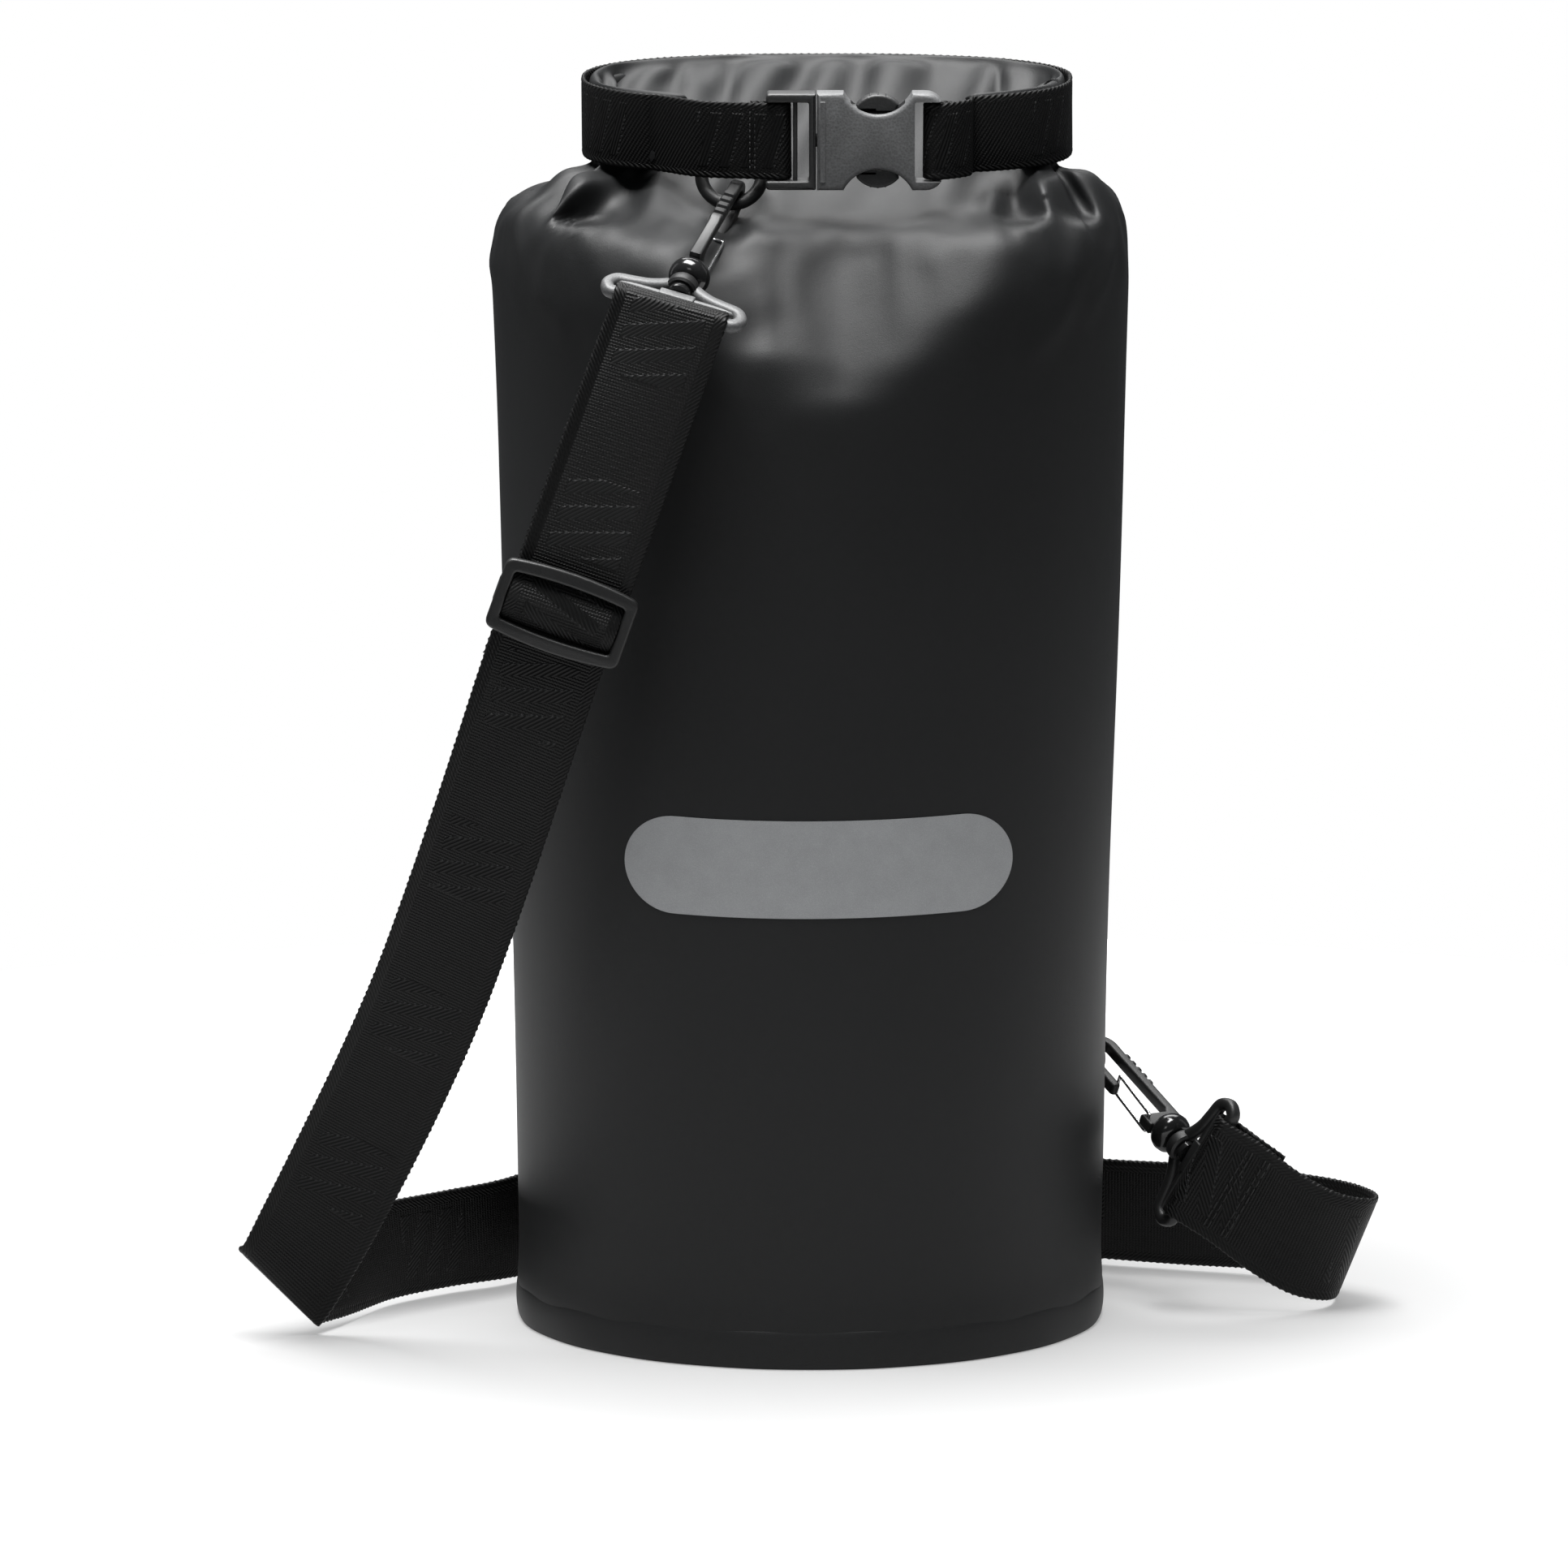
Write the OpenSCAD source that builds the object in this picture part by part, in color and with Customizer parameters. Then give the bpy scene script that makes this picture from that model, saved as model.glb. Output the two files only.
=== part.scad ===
// Roll-top dry bag with a clip-on shoulder strap. Millimetres, Z up, origin at the base's centre on the floor.
// The bag's front faces -Y. +X is to the right seen from the front.

/* [Bag] */
// Diameter of the welded round base
base_d = 190; // [150:1:240]
// Height of the shoulder, where the body starts to close in
shoulder_h = 348; // [280:1:420]
// How much wider than the base the shoulder is, each side
shoulder_spread = 9.5; // [0:0.5:20]
// Coated fabric thickness of the body
wall = 0.8; // [0.5:0.1:2]
// Height of the welded band round the base
base_band_h = 13; // [8:1:20]

/* [Closure] */
// Closure loop outside width
ring_w = 160; // [130:1:190]
// Closure loop outside depth
ring_d = 88; // [70:1:110]
// Bottom of the closure loop above the floor
ring_z = 385; // [320:1:450]
// Closure webbing width
web_w = 25; // [20:1:30]
// Closure webbing thickness
web_t = 1.4; // [1:0.1:2]
// Thickness of the rolled mouth
roll_t = 5; // [4:0.5:8]

/* [Buckle] */
// Female half length
female_l = 41.5; // [36:0.5:48]
// Buckle width across the webbing
buckle_w = 32; // [30:0.5:36]
// Buckle thickness
buckle_t = 9; // [8:0.5:11]
// X of the seam between the two halves
seam_x = 2; // [-5:0.5:10]

/* [Strap] */
// Shoulder strap width
strap_w = 38; // [30:1:50]
// Shoulder strap thickness
strap_t = 1.6; // [1.2:0.1:2]
// Slider outside width
slider_w = 46.5; // [44:0.5:50]
// Slider outside height
slider_h = 27; // [22:0.5:32]

/* [Snap hook] */
// Hook thickness
hook_t = 4.2; // [3.5:0.1:6]
// Inside half width of the hook's eye
eye_r = 4.2; // [3.5:0.1:5.5]
// Hook limb width
limb = 3.3; // [3:0.1:5]
// Rod diameter of the D-rings
ring_rod = 4.4; // [3.5:0.1:6]

/* [Output] */

/* [Hidden] */
$fn = 48;
base_r = base_d / 2;
band_t = 1.0;
segments = 64;
loop_cx = 5.5;
loop_cy = 4;
roll_gap = 0.3;
neck_a = ring_w / 2 - web_t - roll_t - 2 * roll_gap - 0.3;
neck_b = ring_d / 2 - web_t - roll_t - 2 * roll_gap - 0.3;
neck_z = 383;
roof_rise = 5;
fabric_col = [0.17, 0.17, 0.18];
web_col = [0.06, 0.06, 0.065];
plastic_col = [0.11, 0.11, 0.115];
steel_col = [0.75, 0.75, 0.76];
mark_col = [0.55, 0.56, 0.56];

// Half width and half depth of the body at height z
function half_a(z) = base_r + shoulder_spread * pow(min(z, 356) / 356, 1.3);
function half_b(z) = 2 * base_r - half_a(z);

// A closed curve with flattened sides: p is the angle
function flat_oval(a, b, p, k = 0.82) =
  [a * sign(cos(p)) * pow(abs(cos(p)), k), b * sign(sin(p)) * pow(abs(sin(p)), k)];

// ---- body shell ----
wall_rings = [1.4, 14, 40, 85, 140, 200, 260, 310, 336, shoulder_h];
shoulder_steps = [0.1, 0.22, 0.36, 0.5, 0.64, 0.78, 0.9, 1];
roof_steps = [0.94, 0.8, 0.55, 0.3];
function front_share(p) = pow(max(0, -sin(p)), 1.5);
function closing(u, p) =
  front_share(p) * (1 - pow(1 - u, 3.2)) + (1 - front_share(p)) * pow(u, 2.4 - 0.4 * abs(sin(p)));
function wall_point(z, p, t) = [(half_a(z) - t) * cos(p), (half_b(z) - t) * sin(p), z];
function neck_point(p, t) = flat_oval(neck_a - t, neck_b - t, p);
function shoulder_point(u, p, t) =
  let (f = closing(u, p), w = wall_point(shoulder_h, p, t), n = neck_point(p, t))
  [w[0] * (1 - f) + (n[0] + loop_cx) * f, w[1] * (1 - f) + (n[1] + loop_cy) * f,
   shoulder_h + u * (neck_z - shoulder_h) - t * u];
function roof_point(s, p, t) =
  let (n = neck_point(p, t))
  [n[0] * s + loop_cx, n[1] * s + loop_cy, neck_z + roof_rise * (1 - s) - t];
function skin(t) = concat(
  [for (z = wall_rings) [for (i = [0 : segments - 1]) wall_point(z, i * 360 / segments, t)]],
  [for (u = shoulder_steps) [for (i = [0 : segments - 1]) shoulder_point(u, i * 360 / segments, t)]],
  [for (s = roof_steps) [for (i = [0 : segments - 1]) roof_point(s, i * 360 / segments, t)]]);

module body_shell() {
  outer = skin(0);
  inner = skin(wall);
  rows = len(outer);
  n = segments;
  points = concat([for (r = outer) each r], [for (r = inner) each r],
    [roof_point(0, 0, 0), roof_point(0, 0, wall)]);
  half = rows * n;
  tip = 2 * half;
  faces = concat(
    [for (j = [0 : rows - 2]) for (i = [0 : n - 1])
      [j * n + i, (j + 1) * n + i, (j + 1) * n + (i + 1) % n]],
    [for (j = [0 : rows - 2]) for (i = [0 : n - 1])
      [j * n + i, (j + 1) * n + (i + 1) % n, j * n + (i + 1) % n]],
    [for (j = [0 : rows - 2]) for (i = [0 : n - 1])
      [half + j * n + i, half + (j + 1) * n + (i + 1) % n, half + (j + 1) * n + i]],
    [for (j = [0 : rows - 2]) for (i = [0 : n - 1])
      [half + j * n + i, half + j * n + (i + 1) % n, half + (j + 1) * n + (i + 1) % n]],
    [for (i = [0 : n - 1]) [i, (i + 1) % n, half + (i + 1) % n]],
    [for (i = [0 : n - 1]) [i, half + (i + 1) % n, half + i]],
    [for (i = [0 : n - 1]) [(rows - 1) * n + i, tip, (rows - 1) * n + (i + 1) % n]],
    [for (i = [0 : n - 1]) [half + (rows - 1) * n + i, half + (rows - 1) * n + (i + 1) % n, tip + 1]]);
  color(fabric_col) polyhedron(points, faces, convexity = 6);
}

// Round base disc with an upturned flange welded inside the tube
module base_panel() {
  color(fabric_col) difference() {
    cylinder(h = 4, r = base_r - wall - 0.15);
    translate([0, 0, 1.2]) cylinder(h = 4, r = base_r - wall - 1.0);
  }
}

// Rounded welt where base and tube are welded together
module base_weld_band() {
  bulge = 18;
  color(fabric_col) rotate_extrude($fn = 96) intersection() {
    translate([base_r + 0.2 + band_t - bulge, base_band_h / 2]) circle(r = bulge, $fn = 160);
    translate([base_r + 0.2, 0]) square([4, base_band_h]);
  }
}

// Tape over the welded seam, inside the tube at the back
module back_seam_tape() {
  color(fabric_col) rotate([0, 0, 90]) rotate_extrude(angle = 12)
    translate([base_r - 11.5, 14]) square([0.6, 322]);
}

// Printed panel that reflects light
mark_z = 165;
mark_r = 16;
module reflective_mark() {
  color(mark_col) intersection() {
    translate([0, 0, mark_z - mark_r]) linear_extrude(2 * mark_r) difference() {
      ellipse(half_a(mark_z + mark_r) + 0.6, half_b(mark_z - mark_r) + 0.6);
      ellipse(half_a(mark_z + mark_r) + 0.2, half_b(mark_z - mark_r) + 0.2);
    }
    rotate([90, 0, 0]) linear_extrude(140) {
      translate([-44, mark_z - mark_r]) square([94, 2 * mark_r]);
      for (x = [-44, 50]) translate([x, mark_z]) circle(r = mark_r);
    }
  }
}
module ellipse(a, b) { polygon([for (i = [0 : 119]) [a * cos(3 * i), b * sin(3 * i)]]); }

// ---- closure ----
function loop_curve(inset, from, to, count) =
  [for (i = [0 : count]) let (p = from + (to - from) * i / count,
    q = flat_oval(ring_w / 2 - inset, ring_d / 2 - inset, p)) [q[0] + loop_cx, q[1] + loop_cy]];
function reversed(list) = [for (i = [len(list) - 1 : -1 : 0]) list[i]];
function tangent2(path, i) =
  let (a = path[max(0, i - 1)], b = path[min(len(path) - 1, i + 1)]) (b - a) / norm(b - a);
function beside(path, off) =
  [for (i = [0 : len(path) - 1]) let (t = tangent2(path, i)) path[i] + off * [-t[1], t[0]]];

// A strip of constant thickness that follows a path in plan
module strip(path, t, h) {
  linear_extrude(h) polygon(concat(beside(path, t / 2), reversed(beside(path, -t / 2))));
}

roll_from = -60;
roll_to = 236;

// The mouth rolled up on itself, bent into a loop that is open at the front
module mouth_roll() {
  mid = loop_curve(web_t + roll_gap + roll_t / 2, roll_from, roll_to, 56);
  slot = loop_curve(web_t + roll_gap + roll_t / 2, roll_from - 4, roll_to + 4, 60);
  color(fabric_col) difference() {
    translate([0, 0, ring_z + 1.5]) strip(mid, roll_t, web_w - 3);
    translate([0, 0, ring_z]) strip(slot, 1.4, web_w - 7);
  }
}

// Flexible plastic strip sewn inside the mouth's hem
module mouth_stiffener() {
  mid = loop_curve(web_t + roll_gap + roll_t / 2, roll_from + 1, roll_to - 1, 56);
  color(plastic_col) translate([0, 0, ring_z + 1.8]) strip(mid, 1.0, web_w - 9);
}

buckle_y = -45;
buckle_z = ring_z + web_w / 2;
male_bar_x = seam_x - 12.4;
female_bar_x = seam_x + female_l - 2.6;
bar_t = 2.6;

// One strip: round the male half's bar, round the roll, round the female half's bar
module closure_webbing() {
  left_loop = [[male_bar_x - 9, -42.6], [male_bar_x, buckle_y + 2.5], [male_bar_x + 2.2, buckle_y + 2.1],
    [male_bar_x + 3.6, buckle_y], [male_bar_x + 2.2, buckle_y - 2.1], [male_bar_x, buckle_y - 2.5],
    [male_bar_x - 5, -46.6], [-30, -44.2], [-38, -41]];
  round_back = reversed(loop_curve(web_t / 2, -58, 230, 64));
  right_loop = [[51.5, -40.6], [female_bar_x + 4, -46.4], [female_bar_x, buckle_y - 2.5],
    [female_bar_x - 2.2, buckle_y - 2.1], [female_bar_x - 3.6, buckle_y],
    [female_bar_x - 2.2, buckle_y + 2.1], [female_bar_x, buckle_y + 2.5], [female_bar_x + 5, -42.9]];
  path = concat(left_loop, round_back, right_loop);
  color(web_col) translate([0, 0, ring_z]) strip(path, web_t, web_w);
}

// Bar tacks that close the two webbing ends
module closure_tacks() {
  color(web_col) for (x = [male_bar_x - 8, female_bar_x + 2.6])
    translate([x, buckle_y - 0.1, ring_z + 3]) cube([1.4, 1.4, web_w - 6]);
}

// ---- side release buckle: local x runs from the seam towards the female half ----
module at_buckle() { translate([seam_x, buckle_y, buckle_z]) children(); }
prong_pivot = [2, 10.4];

module slab(t) { rotate([90, 0, 0]) linear_extrude(t, center = true) children(); }

module female_outline() {
  difference() {
    union() {
      translate([0.2, -buckle_w / 2]) square([female_l - 2.2, buckle_w]);
      translate([female_l - 6, -buckle_w / 2 + 2]) square([6, buckle_w - 4]);
      for (s = [-1, 1]) translate([female_l - 2, s * (buckle_w / 2 - 2)]) circle(r = 2);
    }
    for (s = [-1, 1]) translate([20, s * (buckle_w / 2 + 5.6)]) circle(r = 12.5, $fn = 72);
  }
}

module buckle_female() {
  color(plastic_col) at_buckle() difference() {
    intersection() {
      slab(buckle_t) female_outline();
      rotate([0, 90, 0]) linear_extrude(female_l) union() {
        square([buckle_w - 3, buckle_t], center = true);
        for (s = [-1, 1]) translate([s * (buckle_w / 2 - 3), 0]) scale(1.5) circle(r = 2, $fn = 40);
        square([buckle_w - 1.6, buckle_t - 2.4], center = true);
      }
    }
    translate([-1, -3.1, -12.8]) cube([31.5, 6.2, 25.6]);
    translate([32, -10, -13.2]) cube([20, 20, 26.4]);
  }
  color(plastic_col) at_buckle() translate([female_l - 4.1, -bar_t / 2, -14]) cube([3, bar_t, 28]);
}

module buckle_male() {
  color(plastic_col) at_buckle() {
    slab(buckle_t - 1) difference() {
      translate([-16.4, -15.9]) square([16.3, 31.8]);
      translate([-20, -13.2]) square([17.6, 26.4]);
    }
    translate([-14, -bar_t / 2, -14]) cube([3.2, bar_t, 28]);
    translate([-7.6, -2, -14]) cube([1.5, 4, 28]);
    translate([-0.2, -2.5, -2]) cube([17, 5, 4]);
    translate([16.8, 0, 0]) rotate([90, 0, 0]) cylinder(h = 5, r = 2, center = true);
  }
}

// One springy arm with its thumb pad, s = 1 above and -1 below
module prong(s) {
  color(plastic_col) at_buckle() slab(5.4) {
    translate([prong_pivot[0], s * prong_pivot[1]]) circle(r = 1.6);
    translate([prong_pivot[0], s * prong_pivot[1] - 1.2]) square([18, 2.4]);
    intersection() {
      translate([20, s * 6.4]) circle(r = 9, $fn = 72);
      translate([12.2, s > 0 ? 9.2 : -16]) square([14, 6.8]);
    }
  }
}
module buckle_prong_upper() { prong(1); }
module buckle_prong_lower() { prong(-1); }

// ---- D-rings: the straight bar along X at the origin, the bow hanging down -Z ----
bow_r = 9.8;
module d_ring() {
  rod_r = ring_rod / 2;
  translate([0, 0, 0]) rotate([0, 90, 0]) cylinder(h = 2 * bow_r, r = rod_r - 0.2, center = true);
  for (s = [-1, 1]) {
    translate([s * bow_r, 0, 0]) sphere(r = rod_r, $fn = 32);
    translate([s * bow_r, 0, -6.8]) cylinder(h = 6.8, r = rod_r);
  }
  translate([0, 0, -6.8]) rotate([90, 0, 0]) rotate([0, 0, 180]) rotate_extrude(angle = 180)
    translate([bow_r, 0]) circle(r = rod_r, $fn = 32);
}

upper_bar = [-25.5, -34.6, 390.5];
upper_tilt = 30;
lower_az = 32.25;
lower_bar = [102, 0, 85.6];
lower_tilt = 25;
module at_upper_ring() { translate(upper_bar) children(); }
module at_lower_ring() { rotate([0, 0, lower_az]) translate(lower_bar) rotate([0, 0, 90]) children(); }

module upper_d_ring() { color(plastic_col) at_upper_ring() rotate([-upper_tilt, 0, 0]) d_ring(); }
module lower_d_ring() { color(plastic_col) at_lower_ring() rotate([-lower_tilt, 0, 0]) d_ring(); }

// A webbing tab folded round a bar along X; path is in Y and Z
module tab(path, w, t) {
  rotate([90, 0, 90]) translate([0, 0, -w / 2]) strip(path, t, w);
}

module upper_ring_tab() {
  path = [[-2.9, 16], [-3, 8], [-2.9, 0.8], [-2.2, -2], [0, -2.9], [2.2, -2], [2.9, 0.8], [2.4, 8], [1.6, 13]];
  color(web_col) at_upper_ring() tab(path, 14.6, 1.0);
}
module upper_ring_tack() {
  color(web_col) at_upper_ring() translate([-6.5, -2.3, 9.5]) cube([13, 3.5, 1.6]);
}

module lower_ring_patch() {
  color(fabric_col) rotate([0, 0, lower_az - 11]) rotate_extrude(angle = 22, $fn = 120)
    translate([base_r + 2, 84]) square([1, 42]);
}
module lower_ring_tab() {
  path = [[3.1, 36], [3.1, 12], [1.4, 5], [2.8, 0.8], [2.2, -2], [0, -2.75], [-2.2, -2], [-2.8, 0.8],
    [-1.2, 6], [1.5, 13], [1.6, 33]];
  color(web_col) at_lower_ring() tab(path, 14.6, 0.7);
}
module lower_ring_tacks() {
  color(web_col) at_lower_ring() for (z = [20, 29]) translate([-6.5, 0.3, z]) cube([13, 0.6, 1.6]);
}

// ---- snap hook and web loop: origin at the swivel dome's centre, +Z towards the hook's crown ----
crown_z = 47;
gate_z = 7.2;
gate_x = -5;
nose_z = 27;
drop = 20;
dome_r = 6.9;

module hook_profile() {
  translate([eye_r, 3]) square([limb, crown_z - 3]);
  translate([-eye_r - limb, nose_z]) square([limb, crown_z - nose_z]);
  translate([-eye_r - limb / 2, nose_z]) circle(r = limb / 2);
  difference() {
    translate([0, crown_z]) circle(r = eye_r + limb);
    translate([0, crown_z]) circle(r = eye_r);
    translate([-20, crown_z - 40]) square([40, 40]);
  }
  translate([-6.6, 3]) square([13, 6.4]);
}

module hook_body() {
  difference() {
    union() {
      slab(hook_t) hook_profile();
      rotate_extrude() intersection() {
        union() {
          translate([dome_r - 4.4, 0]) circle(r = 4.4);
          translate([0, -4.4]) square([dome_r - 4.4, 8.8]);
        }
        translate([0, -5]) square([10, 10]);
      }
      for (i = [0 : 4]) translate([eye_r + limb - 0.2, -hook_t / 2, 25 + i * 3.6])
        cube([0.9, hook_t, 2]);
    }
    translate([0, 0, -6]) cylinder(h = 7, r = 2.05);
    translate([gate_x, 0, gate_z]) rotate([90, 0, 0]) cylinder(h = 20, r = 0.8, center = true);
  }
}

// Rivet that carries the web loop: the shank sits in the dome, the head is inside the loop
module swivel_pin() {
  translate([0, 0, -11.6]) cylinder(h = 12.6, r = 2);
  translate([0, 0, -12.1]) cylinder(h = 1.9, r = 3.9);
}

// Bent wire: two legs, a cross piece behind the hook's nose, and two ends that sit in the hook's base
module gate_wire() {
  leg_y = hook_t / 2 + 1.15;
  top = [-eye_r + 0.85, 28.6];
  lean = atan2(top[0] - gate_x, top[1] - gate_z);
  leg_l = norm([top[0] - gate_x, top[1] - gate_z]);
  translate([gate_x, 0, gate_z]) {
    rotate([90, 0, 0]) cylinder(h = 2 * leg_y, r = 0.6, center = true, $fn = 24);
    rotate([0, lean, 0]) {
      for (s = [-1, 1]) translate([0, s * leg_y, 0]) {
        cylinder(h = leg_l, r = 0.6, $fn = 24);
        sphere(r = 0.6, $fn = 24);
        translate([0, 0, leg_l]) sphere(r = 0.6, $fn = 24);
      }
      translate([0, 0, leg_l]) rotate([90, 0, 0]) cylinder(h = 2 * leg_y, r = 0.6, center = true, $fn = 24);
    }
  }
}

// Web loop in its own plane: origin at the wrapped bar, +Z towards the swivel
module rod2(a, b, r) { hull() { translate(a) circle(r = r, $fn = 32); translate(b) circle(r = r, $fn = 32); } }
module web_loop() {
  side = [[21.5, 0], [22.7, 3.2], [20.6, 6.8], [11.5, 8.6], [5, 12.2]];
  for (s = [-1, 1]) slab(4.2) for (i = [0 : 3])
    rod2([s * side[i][0], side[i][1]], [s * side[i + 1][0], side[i + 1][1]], 2.1);
  rotate([0, 90, 0]) cylinder(h = 43, r = 1.7, center = true);
  translate([0, 0, 6]) rotate([0, 90, 0]) cylinder(h = 38, r = 1.3, center = true);
  translate([0, 0, 10.3]) difference() {
    cylinder(h = 4.6, r = 5.3);
    translate([0, 0, -1]) cylinder(h = 7, r = 2.35);
  }
}
module sleeve() {
  translate([0, 0, 6]) difference() {
    translate([-6, -1.9, -1.9]) cube([12, 3.8, 3.6]);
    rotate([0, 90, 0]) cylinder(h = 20, r = 1.32, center = true);
  }
}

upper_turn = [-68, 14, -13];
upper_cross = [-45.1, -101.2, 352.1];
upper_roll = -90;
lower_turn = [-33, -59, -19];
lower_cross = [128.2, -1.9, 48.5];
lower_roll = 72;
module at_upper_loop() { translate(upper_cross) rotate(upper_turn) children(); }
module at_lower_loop() { translate(lower_cross) rotate(lower_turn) children(); }
module at_upper_hook() { at_upper_loop() translate([0, 0, drop]) rotate([0, 0, upper_roll]) children(); }
module at_lower_hook() { at_lower_loop() translate([0, 0, drop]) rotate([0, 0, lower_roll]) children(); }

module upper_hook() { color(plastic_col) at_upper_hook() hook_body(); }
module upper_swivel_pin() { color(plastic_col) at_upper_hook() swivel_pin(); }
module upper_gate() { color(steel_col) at_upper_hook() gate_wire(); }
module upper_web_loop() { color(plastic_col) at_upper_loop() web_loop(); }
module upper_loop_sleeve() { color(plastic_col) at_upper_loop() sleeve(); }
module lower_hook() { color(plastic_col) at_lower_hook() hook_body(); }
module lower_swivel_pin() { color(plastic_col) at_lower_hook() swivel_pin(); }
module lower_gate() { color(steel_col) at_lower_hook() gate_wire(); }
module lower_web_loop() { color(plastic_col) at_lower_loop() web_loop(); }
module lower_loop_sleeve() { color(plastic_col) at_lower_loop() sleeve(); }

// ---- shoulder strap: each stop is [centre, vector across the strap] ----
stops = [
  [[-88, -94.4, 231], [36, 0, -13]], [[-80.4, -95.3, 252.3], [36, 0, -13]],
  [[-60.4, -97, 309], [36, -2, -12]], [[-49, -97.6, 341], [36, -7, -10]],
  [[-45.3, -97.9, 351.1], [36, -8, -9]], [[-44.8, -98.8, 354.2], [36, -8, -9]],
  [[-44.4, -101.2, 355], [36, -8, -9]], [[-45.1, -103.2, 354], [36, -8, -9]],
  [[-45.6, -104.2, 351.6], [36, -8, -9]], [[-49.3, -103.8, 341], [36, -7, -10]],
  [[-60.4, -102.6, 309], [36, -2, -12]], [[-80.4, -100.9, 252.3], [36, 0, -13]],
  [[-88, -100.2, 231], [36, 0, -13]], [[-96, -97, 206], [35, 0, -15]],
  [[-107, -88, 171], [35, 0, -15.5]], [[-122, -74, 126], [34.5, 0, -16]],
  [[-136, -61, 91], [34, 1, -17]], [[-152, -49, 56], [32, 3, -19.5]],
  [[-164, -43, 32], [29, 5, -24]], [[-171.5, -41.5, 18.6], [26.5, 7, -28]],
  [[-173.5, -39.5, 16.6], [26.5, 7, -28]], [[-172, -37, 16.8], [26, 8, -28]],
  [[-163, -27, 18.2], [20, 10, -31]], [[-150, -11, 19.2], [10, 14, -34]],
  [[-137, 6, 19.6], [3, 15, -35]], [[-118, 24, 19.8], [1, 15, -35]],
  [[-99, 40, 20], [1, 13, -35.7]], [[-76, 72, 20], [-3, 4, -37.7]],
  [[-40, 97, 20], [-1, 2, -38]], [[0, 105, 20], [0, 2, -38]],
  [[38, 99, 20], [0, 6, -37.5]], [[68, 88, 20], [0, 11, -36.4]],
  [[94, 73, 20], [0, 13, -35.7]], [[120, 64, 20], [0, 12, -36]],
  [[146, 55, 20], [-4, 13, -35.5]], [[163, 45, 20], [-7, 13, -35]],
  [[174, 32, 19.5], [-10, 10, -35]], [[179, 17, 19.2], [-13, 7, -35]],
  [[176, 4, 20], [-15, 5, -34.6]], [[165, -3, 23.5], [-15, 5, -34.5]],
  [[152, -4.5, 31], [-16, 6, -34]], [[139, -5.2, 41], [-17.5, 6.5, -33]],
  [[127.8, -5.1, 48.2], [-18.3, 6.5, -32.6]], [[125.8, -3.9, 49.5], [-18.3, 6.5, -32.6]],
  [[125.3, -1.7, 50.2], [-18.3, 6.5, -32.6]], [[126.6, 0.5, 49.9], [-18.3, 6.5, -32.6]],
  [[128.6, 1.2, 48.9], [-18.3, 6.5, -32.6]], [[133.4, -0.5, 45.8], [-18, 6.5, -32.8]],
  [[139, -2.7, 42], [-17.5, 6.5, -33]], [[147, -2.3, 36.2], [-17, 6.5, -33]]];

function between(a, b, c, d, t) =
  0.5 * (2 * b + (c - a) * t + (2 * a - 5 * b + 4 * c - d) * t * t + (3 * b - a - 3 * c + d) * t * t * t);
function stop_at(i) = stops[max(0, min(len(stops) - 1, i))];
function strap_pieces(i) = norm(stops[i + 1][0] - stops[i][0]) > 15 ? 2 : 1;
function strap_line() = concat(
  [for (i = [0 : len(stops) - 2]) for (k = [0 : strap_pieces(i) - 1]) let (t = k / strap_pieces(i))
    [for (q = [0, 1]) between(stop_at(i - 1)[q], stop_at(i)[q], stop_at(i + 1)[q], stop_at(i + 2)[q], t)]],
  [stops[len(stops) - 1]]);

module shoulder_strap() {
  line = strap_line();
  n = len(line);
  function along(i) = line[min(n - 1, i + 1)][0] - line[max(0, i - 1)][0];
  function unit(v) = v / norm(v);
  function corner(i, s, q) =
    let (w = unit(line[i][1]), m = unit(cross(along(i), w)))
    line[i][0] + s * w * strap_w / 2 + q * m * strap_t / 2;
  points = [for (i = [0 : n - 1])
    each [corner(i, -1, -1), corner(i, 1, -1), corner(i, 1, 1), corner(i, -1, 1)]];
  faces = concat([[0, 1, 2], [0, 2, 3]],
    [for (i = [0 : n - 2]) for (k = [0 : 3])
      [4 * i + k, 4 * (i + 1) + k, 4 * (i + 1) + (k + 1) % 4]],
    [for (i = [0 : n - 2]) for (k = [0 : 3])
      [4 * i + k, 4 * (i + 1) + (k + 1) % 4, 4 * i + (k + 1) % 4]],
    [[4 * n - 4, 4 * n - 2, 4 * n - 3], [4 * n - 4, 4 * n - 1, 4 * n - 2]]);
  color(web_col) polyhedron(points, faces, convexity = 10);
}

slider_at = [-80.4, -98.1, 252.3];
slider_turn = [1.7, 19.5, 0];
module at_slider() { translate(slider_at) rotate(slider_turn) children(); }

// Frame with two long sides in front of the strap and a centre bar between its two layers
module slider() {
  color(plastic_col) at_slider() {
    translate([0, -5.6, 0]) slab(3) difference() {
      rounded(slider_w, slider_h, 5);
      rounded(slider_w - 8, slider_h - 8.6, 2.6);
    }
    for (s = [-1, 1]) translate([s * (slider_w / 2 - 1.9), -2.2, 0]) cube([2.6, 6.4, 9], center = true);
    rotate([0, 90, 0]) cylinder(h = slider_w - 3, r = 1.2, center = true);
  }
}
module rounded(w, h, r) {
  square([w - 2 * r, h], center = true);
  square([w, h - 2 * r], center = true);
  for (x = [-1, 1]) for (z = [-1, 1]) translate([x * (w / 2 - r), z * (h / 2 - r)]) circle(r = r);
}

// Rows of stitches that hold the strap's sewn end, on its rear face
module strap_end_stitches() {
  color(web_col) at_slider() for (z = [-14, -19])
    translate([-15, 3.9, z]) cube([30, 0.5, 1.2]);
}

// Rows of stitches across the folded lower end, on its front face
module strap_box_stitches() {
  color(web_col) translate([139, -5.2, 41]) rotate([13, -59, -19]) for (z = [-4, 2])
    translate([-15, -1.8, z]) cube([30, 0.5, 1.2]);
}

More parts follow.
